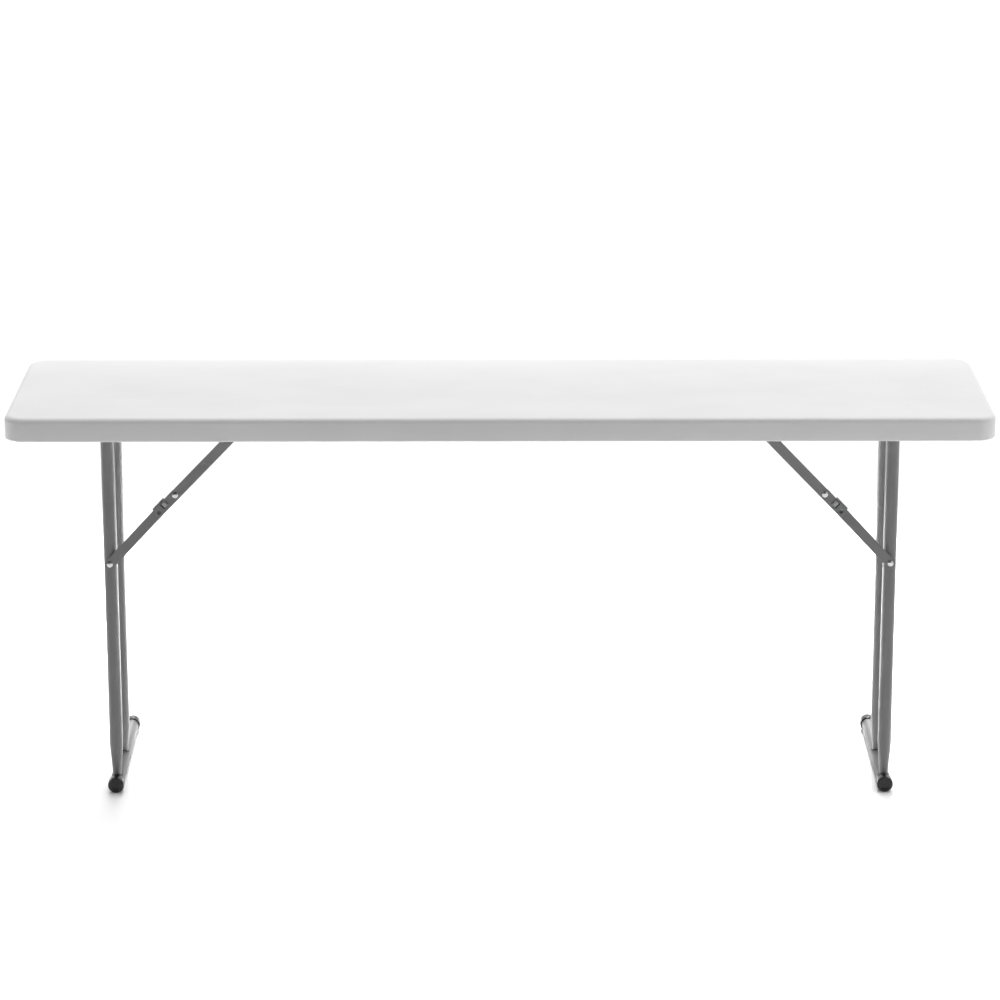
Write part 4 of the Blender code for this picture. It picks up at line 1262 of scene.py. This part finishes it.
    def build(self, side: Side) -> None:
        """Build one brace."""
        self.upper_strap(side)
        self.lower_strap(side)
        self.lock_tongue(side)
        lower_low, lower_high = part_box("lower_link_right")
        tube_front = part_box("front_leg_tube_right")[0].y
        upper_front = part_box("upper_link_right")[0].y
        rail_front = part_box("side_rail_right")[0].y
        rail_back = rail_front + Mounting.sheet
        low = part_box("brace_low_rivet_right")[0]
        self.rivet("brace_low_rivet_right", "upright_rivet", "leg", self.low,
                   [(lower_high.y + GAP, tube_front - GAP)], True, lower_low.y - GAP - low.y, side)
        low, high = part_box("joint_rivet_front_right")
        self.rivet("joint_rivet_front_right", "joint_rivet_head", "upper_link", self.joint,
                   [(high.y - 0.8 * MM, high.y)], False, upper_front - GAP - low.y, side)
        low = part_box("joint_rivet_back_right")[0]
        self.rivet("joint_rivet_back_right", "joint_rivet_tail", "lower_link", self.joint,
                   [(low.y + 0.4 * MM, lower_low.y - GAP)], True, 0.0, side)
        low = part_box("brace_anchor_rivet_right")[0]
        self.rivet("brace_anchor_rivet_right", "rail_rivet", "root", self.anchor,
                   [(rail_back + GAP, upper_front - GAP)], True, rail_front - GAP - low.y, side)


# ---- studio --------------------------------------------------------------------------------

@dataclass
class Studio:
    """A plain pale floor, soft light from above, behind and the right, and the camera."""

    floor_half: float = 60.0
    sky_side: Sequence[float] = (0.04, 0.95, 0.30)      # the sky's brightest direction
    sky_dark: float = 0.02
    sky_bright: float = 1.02
    sky_edge: tuple[float, float] = (-0.30, 0.25)       # from dark to bright, as shares of that direction
    camera_place: tuple[float, float, float] = (-0.007, -6.999, 2.530)
    yaw: float = -0.057                                 # degrees
    pitch: float = 16.059                               # degrees, looking down
    roll: float = -0.061                                # degrees
    lens: float = 137.34                                # millimetres, on a 36 mm sensor

    def floor(self) -> None:
        """Lay the floor a hair under the feet."""
        data = bpy.data.meshes.new("studio_floor")
        corners = np.array([(-1, -1), (1, -1), (1, 1), (-1, 1)]) * self.floor_half
        data.from_pydata([(*corner, 0.0) for corner in corners.tolist()], [], [(0, 1, 2, 3)])
        data.materials.append(Paper().make())
        floor = bpy.data.objects.new("studio_floor", data)
        bpy.context.scene.collection.objects.link(floor)

    def sky(self) -> None:
        """Make the sky bright behind and above and dim in front, as a lit backdrop makes it."""
        world = bpy.data.worlds.new("studio_sky")
        bpy.context.scene.world = world
        world.use_nodes = True
        tree = world.node_tree
        tree.nodes.clear()
        way = tree.nodes.new("ShaderNodeTexCoord").outputs["Generated"]
        side = Vector(self.sky_side).normalized()
        height = add_node(tree, "VectorMath", {0: way, 1: side}, operation="DOT_PRODUCT").outputs["Value"]
        strength = ramp(tree, height, *self.sky_edge, self.sky_dark, self.sky_bright)
        light = add_node(tree, "Background", {"Color": (1.0, 1.0, 1.0, 1.0), "Strength": strength})
        add_node(tree, "OutputWorld", {"Surface": light.outputs[0]})

    def lamp(self, name: str, place: Sequence[float], aim: Sequence[float], size: tuple[float, float],
             power: float, spread: float = 180.0) -> None:
        """Hang a soft box at a place, turned towards an aim.

        Args:
            name: the lamp's name.
            place: where its middle hangs.
            aim: the point that it faces.
            size: its width and height.
            power: its power, in watts.
            spread: angle that its light leaves through, in degrees.
        """
        data = bpy.data.lights.new(name, "AREA")
        data.shape, data.energy, data.spread = "RECTANGLE", power, math.radians(spread)
        data.size, data.size_y = size
        lamp = bpy.data.objects.new(name, data)
        facing = (Vector(aim) - Vector(place)).to_track_quat("-Z", "Y")
        lamp.matrix_world = Matrix.LocRotScale(Vector(place), facing, None)
        bpy.context.scene.collection.objects.link(lamp)

    def sun(self, name: str, side: Sequence[float], strength: float, spread: float) -> None:
        """Light everything evenly from one side, through an angle of spread degrees."""
        data = bpy.data.lights.new(name, "SUN")
        data.energy, data.angle = strength, math.radians(spread)
        lamp = bpy.data.objects.new(name, data)
        lamp.matrix_world = Vector(side).to_track_quat("Z", "Y").to_matrix().to_4x4()
        bpy.context.scene.collection.objects.link(lamp)

    def camera(self) -> None:
        """Set the camera: in front, a little above the table, with a long lens."""
        data = bpy.data.cameras.new("camera")
        data.lens, data.sensor_width = self.lens, 36.0
        data.clip_end = 400.0
        camera = bpy.data.objects.new("camera", data)
        turn = (Matrix.Rotation(math.radians(self.yaw), 4, "Z")
                @ Matrix.Rotation(math.radians(90 - self.pitch), 4, "X")
                @ Matrix.Rotation(math.radians(self.roll), 4, "Z"))
        camera.matrix_world = Matrix.Translation(self.camera_place) @ turn
        bpy.context.scene.collection.objects.link(camera)
        bpy.context.scene.camera = camera

    def build(self) -> None:
        """Build the studio."""
        self.floor()
        self.sky()
        self.lamp("soft_box_right", (2.6, -2.2, 1.7), (0.6, -0.2, 0.6), (1.5, 1.5), 10.0)
        self.lamp("floor_wash", (0, 2.6, 2.5), (0, 0.8, 0), (3.2, 0.5), 55.0, 32)
        self.sun("overhead_light", (0.25, 0.25, 0.94), 1.75, 40)
        self.camera()
        bpy.context.scene.view_settings.view_transform = "Standard"


def main() -> None:
    """Build the table and its studio, in order."""
    logging.basicConfig(level=logging.INFO, format="%(message)s")
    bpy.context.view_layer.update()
    finishes = Finishes.make()
    TableTop(finishes).build()
    for side in Side:
        Mounting(finishes).build(side)
        Leg(finishes).build(side)
        Brace(finishes).build(side)
    Studio().build()


if __name__ == "__main__":
    main()
